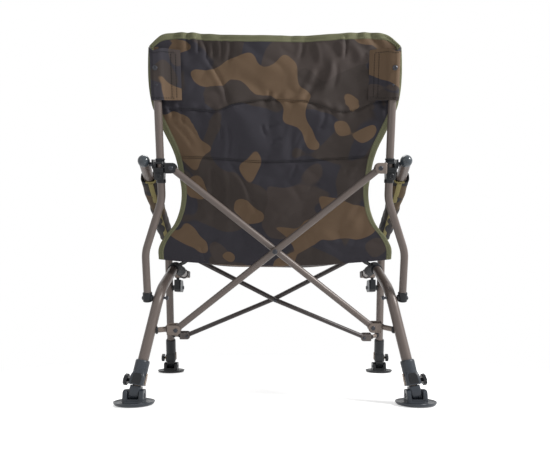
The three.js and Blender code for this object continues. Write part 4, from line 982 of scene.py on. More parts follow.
def leg_unit(side, where):
    """A leg's lower end: the sliding inner leg with its eye, the moulded collar, its knob, and the mud
    foot."""
    s = name_of(side)
    name = f"{s}_{where}"
    ankle, axis = leg_axes(where, side)
    on_leg = along(ankle, axis, side)
    upright = along(ankle, (0, 0, 1), side)
    # The front units get the black moulding as painted shade; the rear ones keep the blue grey moulding.
    tone = moulding if where == "rear" else dark_moulding

    def lay(skins, place):
        """Skins put in place on either side: on the left their second axis is mirrored too."""
        out = []
        for (points, parts), finish in skins:
            if side < 0:
                parts = [(f[:, ::-1], t[:, ::-1]) for f, t in parts]
                points = points * (1, -1, 1)
            out.append(((place(points), parts), finish))
        return out

    stem = turned(ORIGIN, UP, [(0, 0), (0, 9.6), (0.6, INNER_LEG_RADIUS), (164.4, INNER_LEG_RADIUS),
                               (165, 9.4), (165, 0)], 32, 0.3)
    skins = lay([(stem, inner_leg_paint)], on_leg)
    ribbed = [(0, 0), (0, 9), (1, 10), (4, 10), (5, 9.3), (6, 10), (9, 10), (10, 9.3), (11, 10), (15, 10),
              (16, 9.3), (17, 10), (20, 10), (21, 9.3), (22, 10), (25, 10), (26, 9), (26, 0)]
    eye = turned((-13, 0, 0), (1, 0, 0), ribbed, 32, 0.4)
    skins += lay([(eye, tone)], upright)
    cover = moulded([(-3, 12.3, 11.5), (3, 12.8, 13.2), (13, 12.8, 13.6), (22.6, 12.6, 13.4)], 4, 1.2)
    skins += lay([(cover, tone)], on_leg)
    piece(f"{name}_stem", skins, f"{name}_extension", [f"{name}_inner_leg"])

    top = 82 if where == "rear" else 102
    rim = [(top - 3.5, 16.7), (top - 2, 16), (top, 15.2), (top, 12.9), (top - 1.5, 12.7), (top - 1.5, 0)]
    sleeve = turned(ORIGIN, UP, [(44, 0), (44, 16.2), (46, 16.7)] + rim, 40, 0.5)
    shield = moulded([(24, 17.2, 18), (30, 17.2, 18), (44, 17, 17.2), (52, 14.6, 15.6), (56, 12.6, 13.8)], 6,
                     1.0)
    face = moulded([(27, 10.5, 1.6, 0, -17.6), (44, 10.5, 1.6, 0, -17.2), (51, 8, 1.6, 0, -15.6)], 1.2, 0.6)
    boss = turned((15, 0, 32), (1, 0, 0), [(0, 0), (0, 9.5), (2.2, 9), (2.2, 0)], 24, 0.4)
    clip = moulded([(27, 0.8, 5, -18.0, 0), (53, 0.8, 5, -17.4, 0)], 0.6, 0.4)
    seam = turned(ORIGIN, UP, [(60, 0), (60, 17.1), (61.4, 17.1), (61.4, 0)], 40, 0.3)
    skins = lay([(sleeve, tone), (shield, tone), (face, dark_moulding), (boss, tone), (seam, tone),
                 (clip, inner_leg_paint)], on_leg)
    piece(f"{name}_collar_moulding", skins, f"{s}_side", [f"{name}_collar"], crease=30)

    grip = laid(plate(knob_outline(13.5), 9.0, 1.2), 27.5, 0, 32)
    cap = turned((32, 0, 32), (1, 0, 0), [(-1, 0), (-1, 7.5), (0.4, 7), (0.6, 4), (0, 3.2), (0, 0)], 24, 0.3)
    neck = turned((17, 0, 32), (1, 0, 0), [(-6, 0), (-6, 4), (7, 4), (7, 0)], 20, 0.3)
    washer = turned((17.3, 0, 32), (1, 0, 0), [(0, 0), (0, 6.5), (1.6, 6.5), (1.6, 0)], 24, 0.25)
    skins = lay([(grip, dark_moulding), (cap, dark_moulding), (neck, dark_moulding), (washer, brass)], on_leg)
    piece(f"{name}_knob", skins, f"{name}_lock", [f"{name}_lock_knob"], crease=32)

    dish = [(-21, 0), (-21, 38), (-19.6, 43.2), (-16.2, 46.2), (-12.4, 47), (-12, 45.8), (-13.6, 42.6),
            (-14.6, 39.5), (-14.6, 0)]
    disc = turned(ORIGIN, UP, dish, 72, 0.7)
    rib = turned(ORIGIN, UP, [(-15.5, 0), (-15.5, 33.5), (-13.6, 32.5), (-13.6, 31), (-14.5, 30), (-14.5, 0)],
                 60, 0.4)
    base = moulded([(-15.6, 24.5, 19), (-13, 24.2, 18.8), (-10.8, 23.6, 18)], 7, 0.6)
    skins = [(disc, tone), (rib, tone), (base, tone)]
    for way in (-1, 1):
        skins.append((moulded([(-15.6, 13.8, 1.2, 0, way * 15.4), (-6.5, 13.8, 1.2, 0, way * 15.4)], 1.0,
                              0.5), tone))
        a = np.linspace(0, np.pi, 15)
        round_top = np.stack([16.5 * np.sign(np.cos(a)) * np.abs(np.cos(a)) ** 0.55,
                              -1 + 15.5 * np.sin(a) ** 0.6], -1)
        outline = np.concatenate([[(-17.6, -12.5), (17.6, -12.5)], round_top])
        skins.append((laid(plate(outline, 10.2, 1.3), way * 18.6), tone))
        head = [(-1, 0), (-1, 5.5), (0.9, 5.5), (1.7, 4.4), (1.7, 2.2), (0.9, 2), (0.9, 0)]
        skins.append((turned((way * 23.5, 0, 0), (way, 0, 0), head, 20, 0.25), bolt_steel))
    skins.append((rod((-24, 0, 0), (24, 0, 0), 3.5), bolt_steel))
    piece(f"{name}_boot_and_plate", lay(skins, upright), f"{name}_foot", [f"{name}_mud_foot"],
          crease=32)


# The sling: the back's surface in the plane of the posts, the seat's from its lower edge to the front tips
CREASES = [
    (-159, 560, -104, 450, 5, 2.2), (-177, 597, -173, 567, 4, 3), (-159, 588, -153, 558, 4, 3),
    (-139, 588, -138, 556, 5, 2.6),
    (-121, 590, -120, 554, 4, 2), (-99, 588, -106, 548, 5, 2.4), (-193, 592, -198, 572, 4, 2.4),
    (-126, 406, -125, 375, 4, 1.6),
    (-107, 406, -112, 336, 5, 2), (-245, 459, -238, 424, 5, 3), (-223, 457, -211, 415, 5, 3.2),
    (-243, 424, -194, 361, 6, 1.7),
    (-229, 433, -183, 380, 5, 1.3), (-128, 310, -119, 232, 9, -2.4), (-149, 317, -158, 242, 6, 1.6),
    (-108, 324, -47, 202, 6, 2.2),
    (157, 597, 156, 556, 3.5, 2.4), (144, 588, 149, 558, 7, -2.2), (173, 584, 192, 550, 9, -2.2),
    (129, 546, 107, 481, 9, -3),
    (100, 524, 64, 462, 8, 2.8), (90, 584, 99, 546, 6, -1.8), (138, 538, 132, 490, 6, 1.6),
    (63, 584, 56, 554, 5, 2),
    (115, 442, 105, 398, 6, 2.2), (64, 361, 55, 328, 5, 1.6), (50, 317, 39, 288, 5, 1.6),
    (-11, 481, -16, 462, 5, 2),
    (-16, 402, 9, 410, 4, 1.8), (-21, 384, -30, 408, 4, 1.6), (-7, 370, 14, 377, 4, 1.8),
    (83, 262, 107, 272, 5, 1.6),
    (-193, 112, -182, 68, 4, 2.2), (-187, 68, -148, 134, 7, 1.4), (-263, 128, -147, 196, 11, -1.6),
    (-240, 90, -84, 144, 12, 1.4),
    (260, 106, 135, 134, 12, -1.5), (168, 85, 204, 96, 6, 1.4), (169, 300, 190, 317, 6, 1.3),
    (-63, 160, 64, 144, 14, 1.5),
    (-152, 206, -78, 176, 12, -1.4), (62, 219, 159, 256, 13, 1.5), (27, 281, 62, 236, 8, 1.3),
    (210, 232, 179, 166, 9, 1.4),
    (-85, 281, -72, 232, 7, -1.3), (-202, 281, -195, 194, 9, 1.5), (129, 375, 189, 393, 10, 1.3),
    (-29, 533, 57, 520, 16, -1.3),
    (-84, 512, -30, 486, 12, 1.2),
]
UPPER_SEAM = [(-230, 443), (-210, 442), (-173, 440), (-138, 437), (-115, 444), (-92, 452), (-57, 457),
              (-16, 462), (23, 460),
              (62, 458), (99, 450), (141, 436), (173, 437), (200, 445), (232, 459), (262, 462)]
LOWER_SEAM = [(-235, 336), (-179, 334), (-115, 330), (-60, 326), (-14, 324), (60, 326), (93, 328), (155, 332),
              (235, 337)]
CLOTH, POCKET_CLOTH = 2.6, 1.8
BACK_SLACK, SEAT_SLACK, POCKET_SLACK = 1.03, 1.01, (1.05, 1.02)
SLING_COLUMNS, SLING_ROWS = 220, 200
SEAT_COLUMNS, SEAT_ROWS = 150, 150


def smooth_line(points, x):
    """The height of a seam at a place across: a smooth curve through its points."""
    fine = spline(np.array(points, float), 300)
    return np.interp(x, fine[:, 0], fine[:, 1])


def back_plane(v):
    """How far the back lies in front of the posts at a height: a level rest at the top that turns into a
    slope below."""
    s = BACK_BREAK - v
    return BACK_REST + BACK_SLOPE * (s + np.hypot(s, BACK_BREAK_ROUND)) / 2


def back_half_width(w):
    """Half the width of the back at a share of its height."""
    return POST_HALF_SPAN * table(BACK_WIDTH_SHARES, w)


def creased(x, v):
    """Folds of the cloth: each is a groove or a ridge along a line, a bell curve across it that fades to both
    ends."""
    total = np.zeros_like(x)
    for x1, v1, x2, v2, width, depth in CREASES:
        dx, dv = x2 - x1, v2 - v1
        length = math.hypot(dx, dv)
        t = ((x - x1) * dx + (v - v1) * dv) / length**2
        across = ((x - x1) * dv - (v - v1) * dx) / length + 0.06 * length * np.sin(np.pi * np.clip(t, 0, 1))
        fade = np.exp(-(np.maximum(0, np.abs(t - 0.5) - 0.32) / 0.2) ** 2)
        bank = 0.45 * np.exp(-(((across - 1.7 * width) / (1.4 * width)) ** 2))
        total += 1.6 * depth * fade * (np.exp(-((across / width) ** 2)) - bank)
    return total


def lattice_noise(x, v, cell, seed):
    """Smooth noise from -1 to 1: seeded random heights at the corners of square cells, blended between them
    by 3t^2 - 2t^3 both ways."""
    heights = np.random.default_rng(seed).uniform(-1, 1, (64, 64))
    i, j = np.floor(x / cell), np.floor(v / cell)
    s, t = x / cell - i, v / cell - j
    s, t = s * s * (3 - 2 * s), t * t * (3 - 2 * t)
    i, j = i.astype(int) % 64, j.astype(int) % 64
    right, above = (i + 1) % 64, (j + 1) % 64
    low = heights[i, j] * (1 - s) + heights[right, j] * s
    high = heights[i, above] * (1 - s) + heights[right, above] * s
    return low * (1 - t) + high * t


def crumpled(x, v):
    """Crumples with sharp crests: 1 - 2 sqrt(noise^2 + 0.012), in two sizes, on a lattice that another noise
    bends."""
    bend = 26 * lattice_noise(x, v, 90, 3)
    broad = 1 - 2 * np.sqrt(lattice_noise(x + bend, 0.7 * v - bend, 62, 5) ** 2 + 0.012)
    small = 1 - 2 * np.sqrt(lattice_noise(0.8 * x - 0.5 * v + bend, 0.5 * x + 0.8 * v, 30, 7) ** 2 + 0.012)
    return 3.4 * broad + 1.3 * small


def gathered(x, v):
    """Gathers and drag lines: short waves under the top edge and beside the pockets, puckers along the seams,
    and broad slack waves that run from the lower corners."""
    near_top = np.exp(-((BACK_TOP - v) / 34.0) ** 2) * (0.35 + np.exp(-((np.abs(x) - 175) / 60.0) ** 2))
    phase = x / 7.4 + 0.9 * np.sin(x / 31.0) + v / 60.0 + 3.2 * lattice_noise(x, v, 44, 11)
    waves = near_top * 2.6 * (0.75 + 0.7 * lattice_noise(x, v, 58, 12)) * np.sin(phase)
    upper = v - smooth_line(UPPER_SEAM, x)
    lower = v - smooth_line(LOWER_SEAM, x)
    pucker = 1.9 * np.sin(x / 6.1 + 1.7 * np.sin(x / 23.0)) * np.exp(-(upper / 14.0) ** 2)
    pucker += 0.8 * np.sin(x / 8.3 + 1.1 * np.sin(x / 17.0)) * np.exp(-(lower / 12.0) ** 2)
    seams = 3.4 * np.exp(-(upper / 2.6) ** 2) - 1.3 * np.exp(-((upper - 8) / 6.0) ** 2)
    seams += 2.2 * np.exp(-(lower / 2.2) ** 2) - 0.7 * np.exp(-((lower - 6) / 5.0) ** 2)
    beside = np.exp(-((np.abs(x) - 205) / 14.0) ** 2) * np.exp(-((v - 500) / 60.0) ** 2)
    drag = beside * 1.8 * np.sin(v / 9.0 + x / 40.0)
    slack = 2.2 * np.sin((x + 0.8 * v) / 34.0 + np.sin(v / 57.0)) * np.sin((v - 60) / 75.0)
    slack += 1.8 * np.sin((x - 1.1 * v) / 27.0 + 1.3 * np.sin(x / 66.0)) * np.exp(-((v - 230) / 150.0) ** 2)
    under_pocket = np.exp(-((np.abs(x) - 238) / 22.0) ** 2) * np.exp(-((v - 440) / 17.0) ** 2)
    bunch = under_pocket * 4.0 * np.sin(x / 5.2 + v / 11.0)
    return waves + pucker + seams + drag + slack + bunch


def sling_place(u, w, folds=True):
    """A point of the back: across by its half width at that height, up from its lower edge to its shaped top
    edge, and forward by the back's plane, hollow in the middle, with its folds."""
    u, w = np.broadcast_arrays(np.asarray(u, float), np.asarray(w, float))
    top = BACK_TOP * table(BACK_TOP_SHARES, np.abs(u))
    v = BACK_BASE + (top - BACK_BASE) * w + BACK_CORNER_RISE * u**2 * (1 - w) ** 2
    x = u * back_half_width(w)
    body = 4 * w * (1 - w)
    n = back_plane(v) - BACK_HOLLOW * (1 - u**2) * body
    if folds:
        held = 1 - np.abs(u) ** 14
        folded = creased(x, v) + gathered(x, v) + crumpled(x, v) * (1 - u**6)
        n = n + folded * held * np.clip(8 * w, 0.2, 1)
    return np.stack([x, n, v], -1)


def back_point(u, w):
    """A point of the back on the maker's axes: sling_place, taken out of the back's plane."""
    return on_back(sling_place(u, w))


def seat_point(u, w):
    """A point of the seat: straight from the back's lower edge to the front edge, less a sag in the middle,
    with seams and drag lines towards the front corners."""
    u, w = np.broadcast_arrays(np.asarray(u, float), np.asarray(w, float))
    lap = SEAT_LAP / (BACK_TOP - BACK_BASE)
    rear = on_back(sling_place(u, np.full_like(u, lap), False))
    hang = 1 - u**2
    front = np.stack([u * SEAT_FRONT[0], SEAT_FRONT[1] - SEAT_FRONT_HOLLOW * hang,
                      SEAT_FRONT[2] - SEAT_FRONT_SAG * hang], -1)
    middle = 4 * w * (1 - w)
    folds = 1.6 * np.sin(9 * u + 7 * w) * np.sin(5 * w - 3 * u * u) + 1.2 * np.sin(23 * u * w + 3 * u) * w
    seam = -2.0 * (np.exp(-(((w - 0.36) / 0.008) ** 2)) + np.exp(-(((w - 0.7) / 0.008) ** 2)))
    lift = (folds * middle + seam) * (1 - np.abs(u) ** 12) - SEAT_SAG * middle * (1 - u**4)
    return rear + (front - rear) * w[..., None] + lift[..., None] * np.array([0.0, 0.0, 1.0])


def two_faced(middle, spots, thickness):
    """Skin of cloth about a grid of points: middle + and - half the thickness along the surface's normal,
    which is the cross product of its slopes across and upward, closed round the four edges. It also gives the
    normals."""
    rows, columns = middle.shape[:2]
    across, upward = np.gradient(middle, axis=1), np.gradient(middle, axis=0)
    normal = unit(np.cross(across, upward))
    count = rows * columns
    lift = thickness / 2 * normal
    points = np.concatenate([(middle + lift).reshape(-1, 3), (middle - lift).reshape(-1, 3)])
    faces, _ = grid_faces(rows, columns, False)
    ids = np.arange(count).reshape(rows, columns)
    border = np.concatenate([ids[0, :-1], ids[:-1, -1], ids[-1, :0:-1], ids[:0:-1, 0]])
    after = np.roll(border, -1)
    rim = np.stack([border + count, after + count, after, border], -1)
    doubled = np.concatenate([spots, spots])
    return (points, [(f, doubled[f]) for f in (faces, faces[:, ::-1] + count, rim)]), normal


def surface_area(middle):
    """The area of a grid of points in square metres: half the cross product of each face's diagonals,
    summed."""
    one, other = middle[1:, 1:] - middle[:-1, :-1], middle[1:, :-1] - middle[:-1, 1:]
    return float(np.linalg.norm(np.cross(one, other), axis=-1).sum() / 2) * MM * MM


def cloth_sheet(place, columns, rows, thickness):
    """Cloth about a surface place(u, w) with u from -1 to 1 across and w from 0 to 1 upward. Its surface
    places are lengths from the middle and from the lower edge. It gives the skin and the grid of middle
    points."""
    u, w = np.meshgrid(np.linspace(-1, 1, columns + 1), np.linspace(0, 1, rows + 1))
    middle = place(u, w)
    run = np.concatenate([np.zeros((rows + 1, 1)),
                          np.cumsum(np.linalg.norm(np.diff(middle, axis=1), axis=-1), 1)], 1)
    run -= run[:, columns // 2, None]
    climb = np.concatenate([np.zeros((1, columns + 1)),
                            np.cumsum(np.linalg.norm(np.diff(middle, axis=0), axis=-1), 0)])
    spots = np.stack([run, climb], -1).reshape(-1, 2)
    return two_faced(middle, spots, thickness)[0], middle


def edge_band(surface, along_edge, width=12.0, half=2.2, overhang=1.6):
    """Binding tape folded over an edge: at each place along the edge its section runs in over one face of the
    cloth for a width, and back over the other face, and so it follows the cloth's own folds. It also gives
    stitch lines on it."""
    distance = np.array([0.0, 0.3, 0.6, 0.9, 1.0]) * width
    spots = surface(along_edge[:, None], distance[None])
    inward = unit(np.gradient(spots, axis=1))
    second = unit(np.cross(np.gradient(spots, axis=0), inward))
    lift = np.array([1.0, 1.0, 1.0, 0.95, 0.7])[None, :, None] * half * second
    outer = spots[:, :1] - overhang * inward[:, :1]
    rings = np.concatenate([outer - 0.6 * lift[:, :1], spots - lift, (spots + lift)[:, ::-1],
                            outer + 0.6 * lift[:, :1]], 1)

    def stitch_lines(shares):
        """Lines at shares of the tape's width, on both of its faces, each with the way it faces."""
        for share in shares:
            line = surface(along_edge, np.full_like(along_edge, share * width))
            for way in (-1, 1):
                facing = way * second[:, 2]
                yield line + (half + 0.1) * facing, facing

    return rings_skin(rings), stitch_lines


def stitch_row(line, normal, pitch=5.2, length=3.6, radius=0.62):
    """Stitches along a line: short six-sided beads, each from one needle hole to the next, sunk at both
    ends."""
    runs = np.linalg.norm(np.diff(line, axis=0), axis=-1)
    reach = np.concatenate([[0], np.cumsum(runs)])
    starts = np.arange(0.5 * pitch, reach[-1] - pitch, pitch)
    pick = lambda s: np.stack([np.interp(s, reach, line[:, k]) for k in range(3)], -1)
    lift = unit(np.stack([np.interp(starts, reach, normal[:, k]) for k in range(3)], -1))
    a, b = pick(starts), pick(starts + length)
    shares = np.array([0.0, 0.25, 0.75, 1.0])
    heights = np.array([-0.35, 0.3, 0.3, -0.35])
    radii = np.array([0.25, 1.0, 1.0, 0.25]) * radius
    heading = unit(b - a)
    side = np.cross(heading, lift)
    middle = a[:, None] + (b - a)[:, None] * shares[None, :, None] + heights[None, :, None] * lift[:, None]
    circle = ring(6)[None, None]
    spread = circle[..., :1] * lift[:, None, None] + circle[..., 1:] * -side[:, None, None]
    rings = middle[:, :, None] + radii[None, :, None, None] * spread
    count, rows, columns = rings.shape[:3]
    faces, _ = grid_faces(rows, columns, True)
    fan = np.arange(1, columns - 1)
    first = np.stack([fan * 0, fan + 1, fan], -1)
    last = (rows - 1) * columns + np.stack([fan * 0, fan, fan + 1], -1)
    base = (np.arange(count) * rows * columns)[:, None, None]
    quads = (faces[None] + base).reshape(-1, 4)
    tris = (np.concatenate([first, last])[None] + base).reshape(-1, 3)
    points = rings.reshape(-1, 3)
    flat = points[:, [0, 2]]
    return points, [(quads, flat[quads]), (tris, flat[tris])]


def surface_line(place, u, w):
    """A line on a surface of two parameters, and the surface's normal along it, which points to the sitter's
    side."""
    line = place(u, w)
    step = 1e-3
    across = place(u + step, w) - place(u - step, w)
    upward = place(u, w + step) - place(u, w - step)
    return line, unit(np.cross(upward, across))


def share_at(x, v):
    """The parameters of the back where it passes a place across and a height, found by a few corrections."""
    u, w = np.zeros_like(x), (v - BACK_BASE) / (BACK_TOP - BACK_BASE)
    for _ in range(12):
        spot = sling_place(u, w, False)
        w = np.clip(w + (v - spot[..., 2]) / (BACK_TOP - BACK_BASE), 0, 1)
        u = np.clip(x / back_half_width(w), -1, 1)
    return u, w


def seam_rows(line, facing):
    """The stitches of a seam, on both faces of the cloth."""
    lift = CLOTH / 2 + 0.1
    return [(stitch_row(line + way * lift * facing, way * facing), dark_thread) for way in (1, -1)]


# What is left of the width of the back and the seat, and of the height of the pockets, at full fold
BACK_KEEP, SEAT_KEEP, POCKET_KEEP = 0.629, 0.67, 0.58


def folds_with_chair(made, keep):
    """Gives a piece of cloth a mesh of its own."""
    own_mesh(made)


def make_back():
    """The back's cloth with its binding, its two seams and its stitches."""
    skin, middle = cloth_sheet(back_point, SLING_COLUMNS, SLING_ROWS, CLOTH)
    made = piece("back_sling", [(skin, back_print)], "back", ["back_cloth"], crease=70)
    bands, threads = [], []
    edges = [(lambda w, d, side=side: back_point(side * (1 - d / back_half_width(w)), w),
              np.linspace(0.002, 0.998, 230))
             for side in (-1, 1)]
    edges.append((lambda u, d: back_point(u, 1 - d / (BACK_TOP - BACK_BASE)),
                  np.linspace(-0.995, 0.995, 240)))
    for surface, along_edge in edges:
        band, stitch_lines = edge_band(surface, along_edge)
        bands.append((band, olive_tape))
        rows = stitch_lines((0.22, 0.78))
        threads += [(stitch_row(line, facing, 4.6, 3.0, 0.5), olive_thread) for line, facing in rows]
    for seam, offsets in ((UPPER_SEAM, (3.4,)), (LOWER_SEAM, (-2.8, 2.8))):
        for offset in offsets:
            x = np.linspace(-228, 228, 260)
            u, w = share_at(x, smooth_line(seam, x) + offset)
            threads += seam_rows(*surface_line(back_point, u, w))
    band_piece = piece("back_binding", bands, "back", crease=60)
    thread_piece = piece("back_stitching", threads, "back", crease=180)
    for each in (made, band_piece, thread_piece):
        folds_with_chair(each, BACK_KEEP)
    steps = np.linalg.norm(np.diff(middle[:, SLING_COLUMNS // 2], axis=0), axis=-1)
    surface_area(middle)


def make_seat():
    """The seat's cloth with its side bindings, its front hem, its two seams and its stitches."""
    skin, middle = cloth_sheet(seat_point, SEAT_COLUMNS, SEAT_ROWS, CLOTH)
    made = piece("seat_sling", [(skin, seat_print)], "seat", ["seat_cloth"], crease=70)
    bands, threads = [], []
    depth = SEAT_FRONT[1] - on_back(sling_place(0.0, 0.02, False))[1]
    edges = [(lambda w, d, side=side: seat_point(side * (1 - d / SEAT_FRONT[0]), w),
              np.linspace(0.03, 0.995, 180), 12.0, olive_tape, (0.22, 0.78)) for side in (-1, 1)]
    edges.append((lambda u, d: seat_point(u, 1 - d / depth),
                  np.linspace(-0.97, 0.97, 200), 24.0, seat_print, (0.85,)))
    for surface, along_edge, width, finish, rows in edges:
        band, stitch_lines = edge_band(surface, along_edge, width)
        bands.append((band, finish))
        thread = olive_thread if finish is olive_tape else dark_thread
        threads += [(stitch_row(line, facing, 4.6, 3.0, 0.5), thread) for line, facing in stitch_lines(rows)]
    u = np.linspace(-0.97, 0.97, 170)
    for share in (0.36, 0.7):
        threads += seam_rows(*surface_line(seat_point, u, np.full_like(u, share + 0.008)))
    band_piece = piece("seat_binding", bands, "seat", crease=60)
    thread_piece = piece("seat_stitching", threads, "seat", crease=180)
    for each in (made, band_piece, thread_piece):
        folds_with_chair(each, SEAT_KEEP)
    length = float(np.linalg.norm(np.diff(middle, axis=0), axis=-1).sum(0).max()) * SEAT_SLACK * MM
    surface_area(middle)


def make_pocket(side):
    """A pocket over a post's top: a strip of cloth that starts on the back, rises over the tube and turns
    round its outer side, carried up from its lower hem to its open mouth. Its edge lines wander a little, as
    sewn cloth does."""
    s = name_of(side)
    widths = [POCKET_WRAP if a > 0 else POCKET_FLAP for a, _ in POCKET_OUTLINE_SHARES]
    shape = np.array([(a * width, b * POCKET_DEPTH) for (a, b), width in zip(POCKET_OUTLINE_SHARES, widths)])
    shape[-1] = (-POCKET_FLAP, 0.86 * POCKET_DEPTH)
    outline = spline(shape, 70)
    rows = 72
    t = np.linspace(0, 1, rows)[:, None]
    v = POCKET_BASE + (POCKET_TOP - POCKET_BASE) * t
    a = np.linspace(0, 1, len(outline))[None]
    ahead = np.gradient(outline, axis=0)
    outward = unit(np.stack([-ahead[:, 1], ahead[:, 0]], -1))
    if (outward[20] * (0, 1)).sum() > 0:
        outward = -outward
    loose = np.sin(np.pi * np.clip((a - 0.12) / 0.8, 0, 1))
    puff = loose * (0.7 * np.sin(5.5 * t + 3 * a) + 0.5 * np.sin(13 * t - 6 * a) * (1 - t))
    hem_waves = loose * 1.4 * np.exp(-(t / 0.05) ** 2) * np.sin(9 * a)
    puff += hem_waves + 0.9 * loose * np.exp(-((1 - t) / 0.12) ** 2)
    hem = 0.6 * (np.exp(-((t - 0.035) / 0.012) ** 2) + np.exp(-((t - 0.93) / 0.01) ** 2))
    seam = -0.55 * np.exp(-((a - 0.9) / 0.012) ** 2)
    push = puff - hem * loose + seam
    mouth = t**6 * (2.6 * np.sin(np.pi * a * 1.15 + 0.25) - 9.0 * np.exp(-((a - 0.45) / 0.16) ** 2))
    x = POST_HALF_SPAN + outline[None, :, 0] + push * outward[None, :, 0]
    n = outline[None, :, 1] + push * outward[None, :, 1]
    n = np.minimum(n, back_plane(v) - CLOTH / 2 - 0.4)
    level = v + mouth - 1.2 * (1 - t) ** 6 * np.sin(4 * a)
    middle = np.stack([side * x, n, level], -1)
    run = np.linalg.norm(np.diff(middle[rows // 2], axis=0), axis=-1)
    print_shift = 400 if side > 0 else 0
    places = np.broadcast_arrays(np.concatenate([[0], np.cumsum(run)])[None] + print_shift, v)
    skin, normal = two_faced(middle, np.stack(places, -1).reshape(-1, 2), POCKET_CLOTH)
    made = piece(f"{s}_pocket_cloth", [(moved(skin, on_back), pocket_print)], f"{s}_side",
                 [f"{s}_top_pocket"], crease=70)
    threads = []
    outside = normal if normal[30, 25, 1] < 0 else -normal
    upright = [((slice(2, -2), column), 0.8) for column in (57, 62)]
    level_rows = [((row, slice(4, -6)), 0.7) for row in (3, rows - 6)]
    for chosen, radius in upright + level_rows:
        line = middle[chosen] + (POCKET_CLOTH / 2 + 0.1) * outside[chosen]
        threads.append((stitch_row(on_back(line), back_way(outside[chosen]), 5.6, 3.8, radius), dark_thread))
    thread_piece = piece(f"{s}_pocket_stitching", threads, f"{s}_side", crease=180)
    up = back_way(np.array([0, 0, 1.0]))
    anchor = (on_back(np.array([side * POST_HALF_SPAN, 0, POCKET_TOP])) + SHIFT) * MM
    for each in (made, thread_piece):
        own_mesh(each)
    surface_area(middle)


def pocket_screw(side):
    """The domed screw through a pocket into the post, and a small eyelet below it."""
    s = name_of(side)
    face = -POCKET_DEPTH * 1.05 - 1.5
    at = lambda n: on_back(np.array([side * POST_HALF_SPAN, n, POCKET_SCREW_HEIGHT]))
    dome = [(0, 0), (0, 5.6), (0.5, 5.6), (1.5, 3.6), (1.9, 2.2), (0.9, 2.0), (0.9, 0)]
    skins = [(turned(at(face), at(face - 1) - at(face), dome, 28, 0.25), bolt_steel),
             (rod(at(face), at(-POST_RADIUS - 0.3), 2.0), bolt_steel)]
    eyelet = on_back(np.array([side * (POST_HALF_SPAN - 2), face + 1.3, POCKET_SCREW_HEIGHT - 36]))
    skins.append((turned(eyelet, at(face - 1) - at(face), [(0, 0), (0, 2.8), (0.7, 2.4), (0.7, 0)], 16, 0.2),
                  bolt_steel))
    piece(f"{s}_pocket_screw_head", skins, f"{s}_side", [f"{s}_pocket_screw"])


# Sleeves
def rail_sleeve(side):
    """Webbing sleeve on the seat rail: a round sleeve that waves a little, its hems turned, and a strap up to
    the seat."""
    s = name_of(side)
    crest = np.array(RAIL_CREST)
    spot = lambda a, b, y: np.array(a) + (y - a[1]) / (b[1] - a[1]) * (np.array(b) - np.array(a))
    path = bent_path([spot(REAR_KNEE, RAIL_CREST, RAIL_SLEEVE[0]), crest,
                      spot(RAIL_CREST, RAIL_END, RAIL_SLEEVE[1])], [RAIL_BEND], 3)
    reach = np.concatenate([[0], np.cumsum(np.linalg.norm(np.diff(path, axis=0), axis=-1))])
    even = np.linspace(0, reach[-1], 90)
    path = np.stack([np.interp(even, reach, path[:, k]) for k in range(3)], -1)
    t = np.linspace(0, 1, 90)[:, None]
    a = 2 * np.pi * np.arange(40)[None] / 40
    radius = 14.9 + 0.35 * np.sin(26 * t + 2 * a) + 0.3 * np.sin(3 * a + 17 * t)
    radius += 0.7 * (np.exp(-((t - 0.04) / 0.02) ** 2) + np.exp(-((t - 0.96) / 0.02) ** 2))
    radius = np.where((t < 0.004) | (t > 0.996), 13.0, radius)
    outline = radius[..., None] * np.stack([np.cos(a), np.sin(a)], -1)
    skins = [(carried(path, outline, (1, 0, 0)), black_webbing)]
    middle = spot(RAIL_CREST, RAIL_END, STRAP_CENTRE)
    w = np.linspace(0, 1, 200)
    reach_in = middle[0] - STRAP_INWARD
    seat_line = seat_point(np.full_like(w, reach_in / SEAT_FRONT[0]), w)
    high = np.array([reach_in, STRAP_CENTRE,
                     np.interp(STRAP_CENTRE, seat_line[:, 1], seat_line[:, 2]) - CLOTH / 2 - 2.0])
    low = middle + (-4.0, 0, 8.0)
    share = np.linspace(0, 1, 26)[:, None]
    line = low + (high - low) * share + np.sin(np.pi * share) * (-2.0, 0, -2.0)
    strap = carried(line, slab_outline(1.5, STRAP_HALF - 1, 1.3, 3), (1, 0, 0))
    skins.append((strap, black_webbing))
    threads = []
    for offset in (-STRAP_HALF + 4, STRAP_HALF - 4):
        row = line[2:-2] + (-1.4, offset, -0.9)
        threads.append((stitch_row(row, np.tile(unit(np.array([-1.0, 0, -0.6])), (len(row), 1))),
                        olive_thread))
    skins = mirrored(skins + threads, side)
    piece(f"{s}_rail_webbing", skins, f"{s}_side", [f"{s}_rail_sleeve"], crease=70)


def numbers_of(things, key):
    """Three numbers of each vertex or face of a mesh, such as its place, as rows of an array."""
    flat = np.empty(len(things) * 3)
    things.foreach_get(key, flat)
    return flat.reshape(-1, 3)


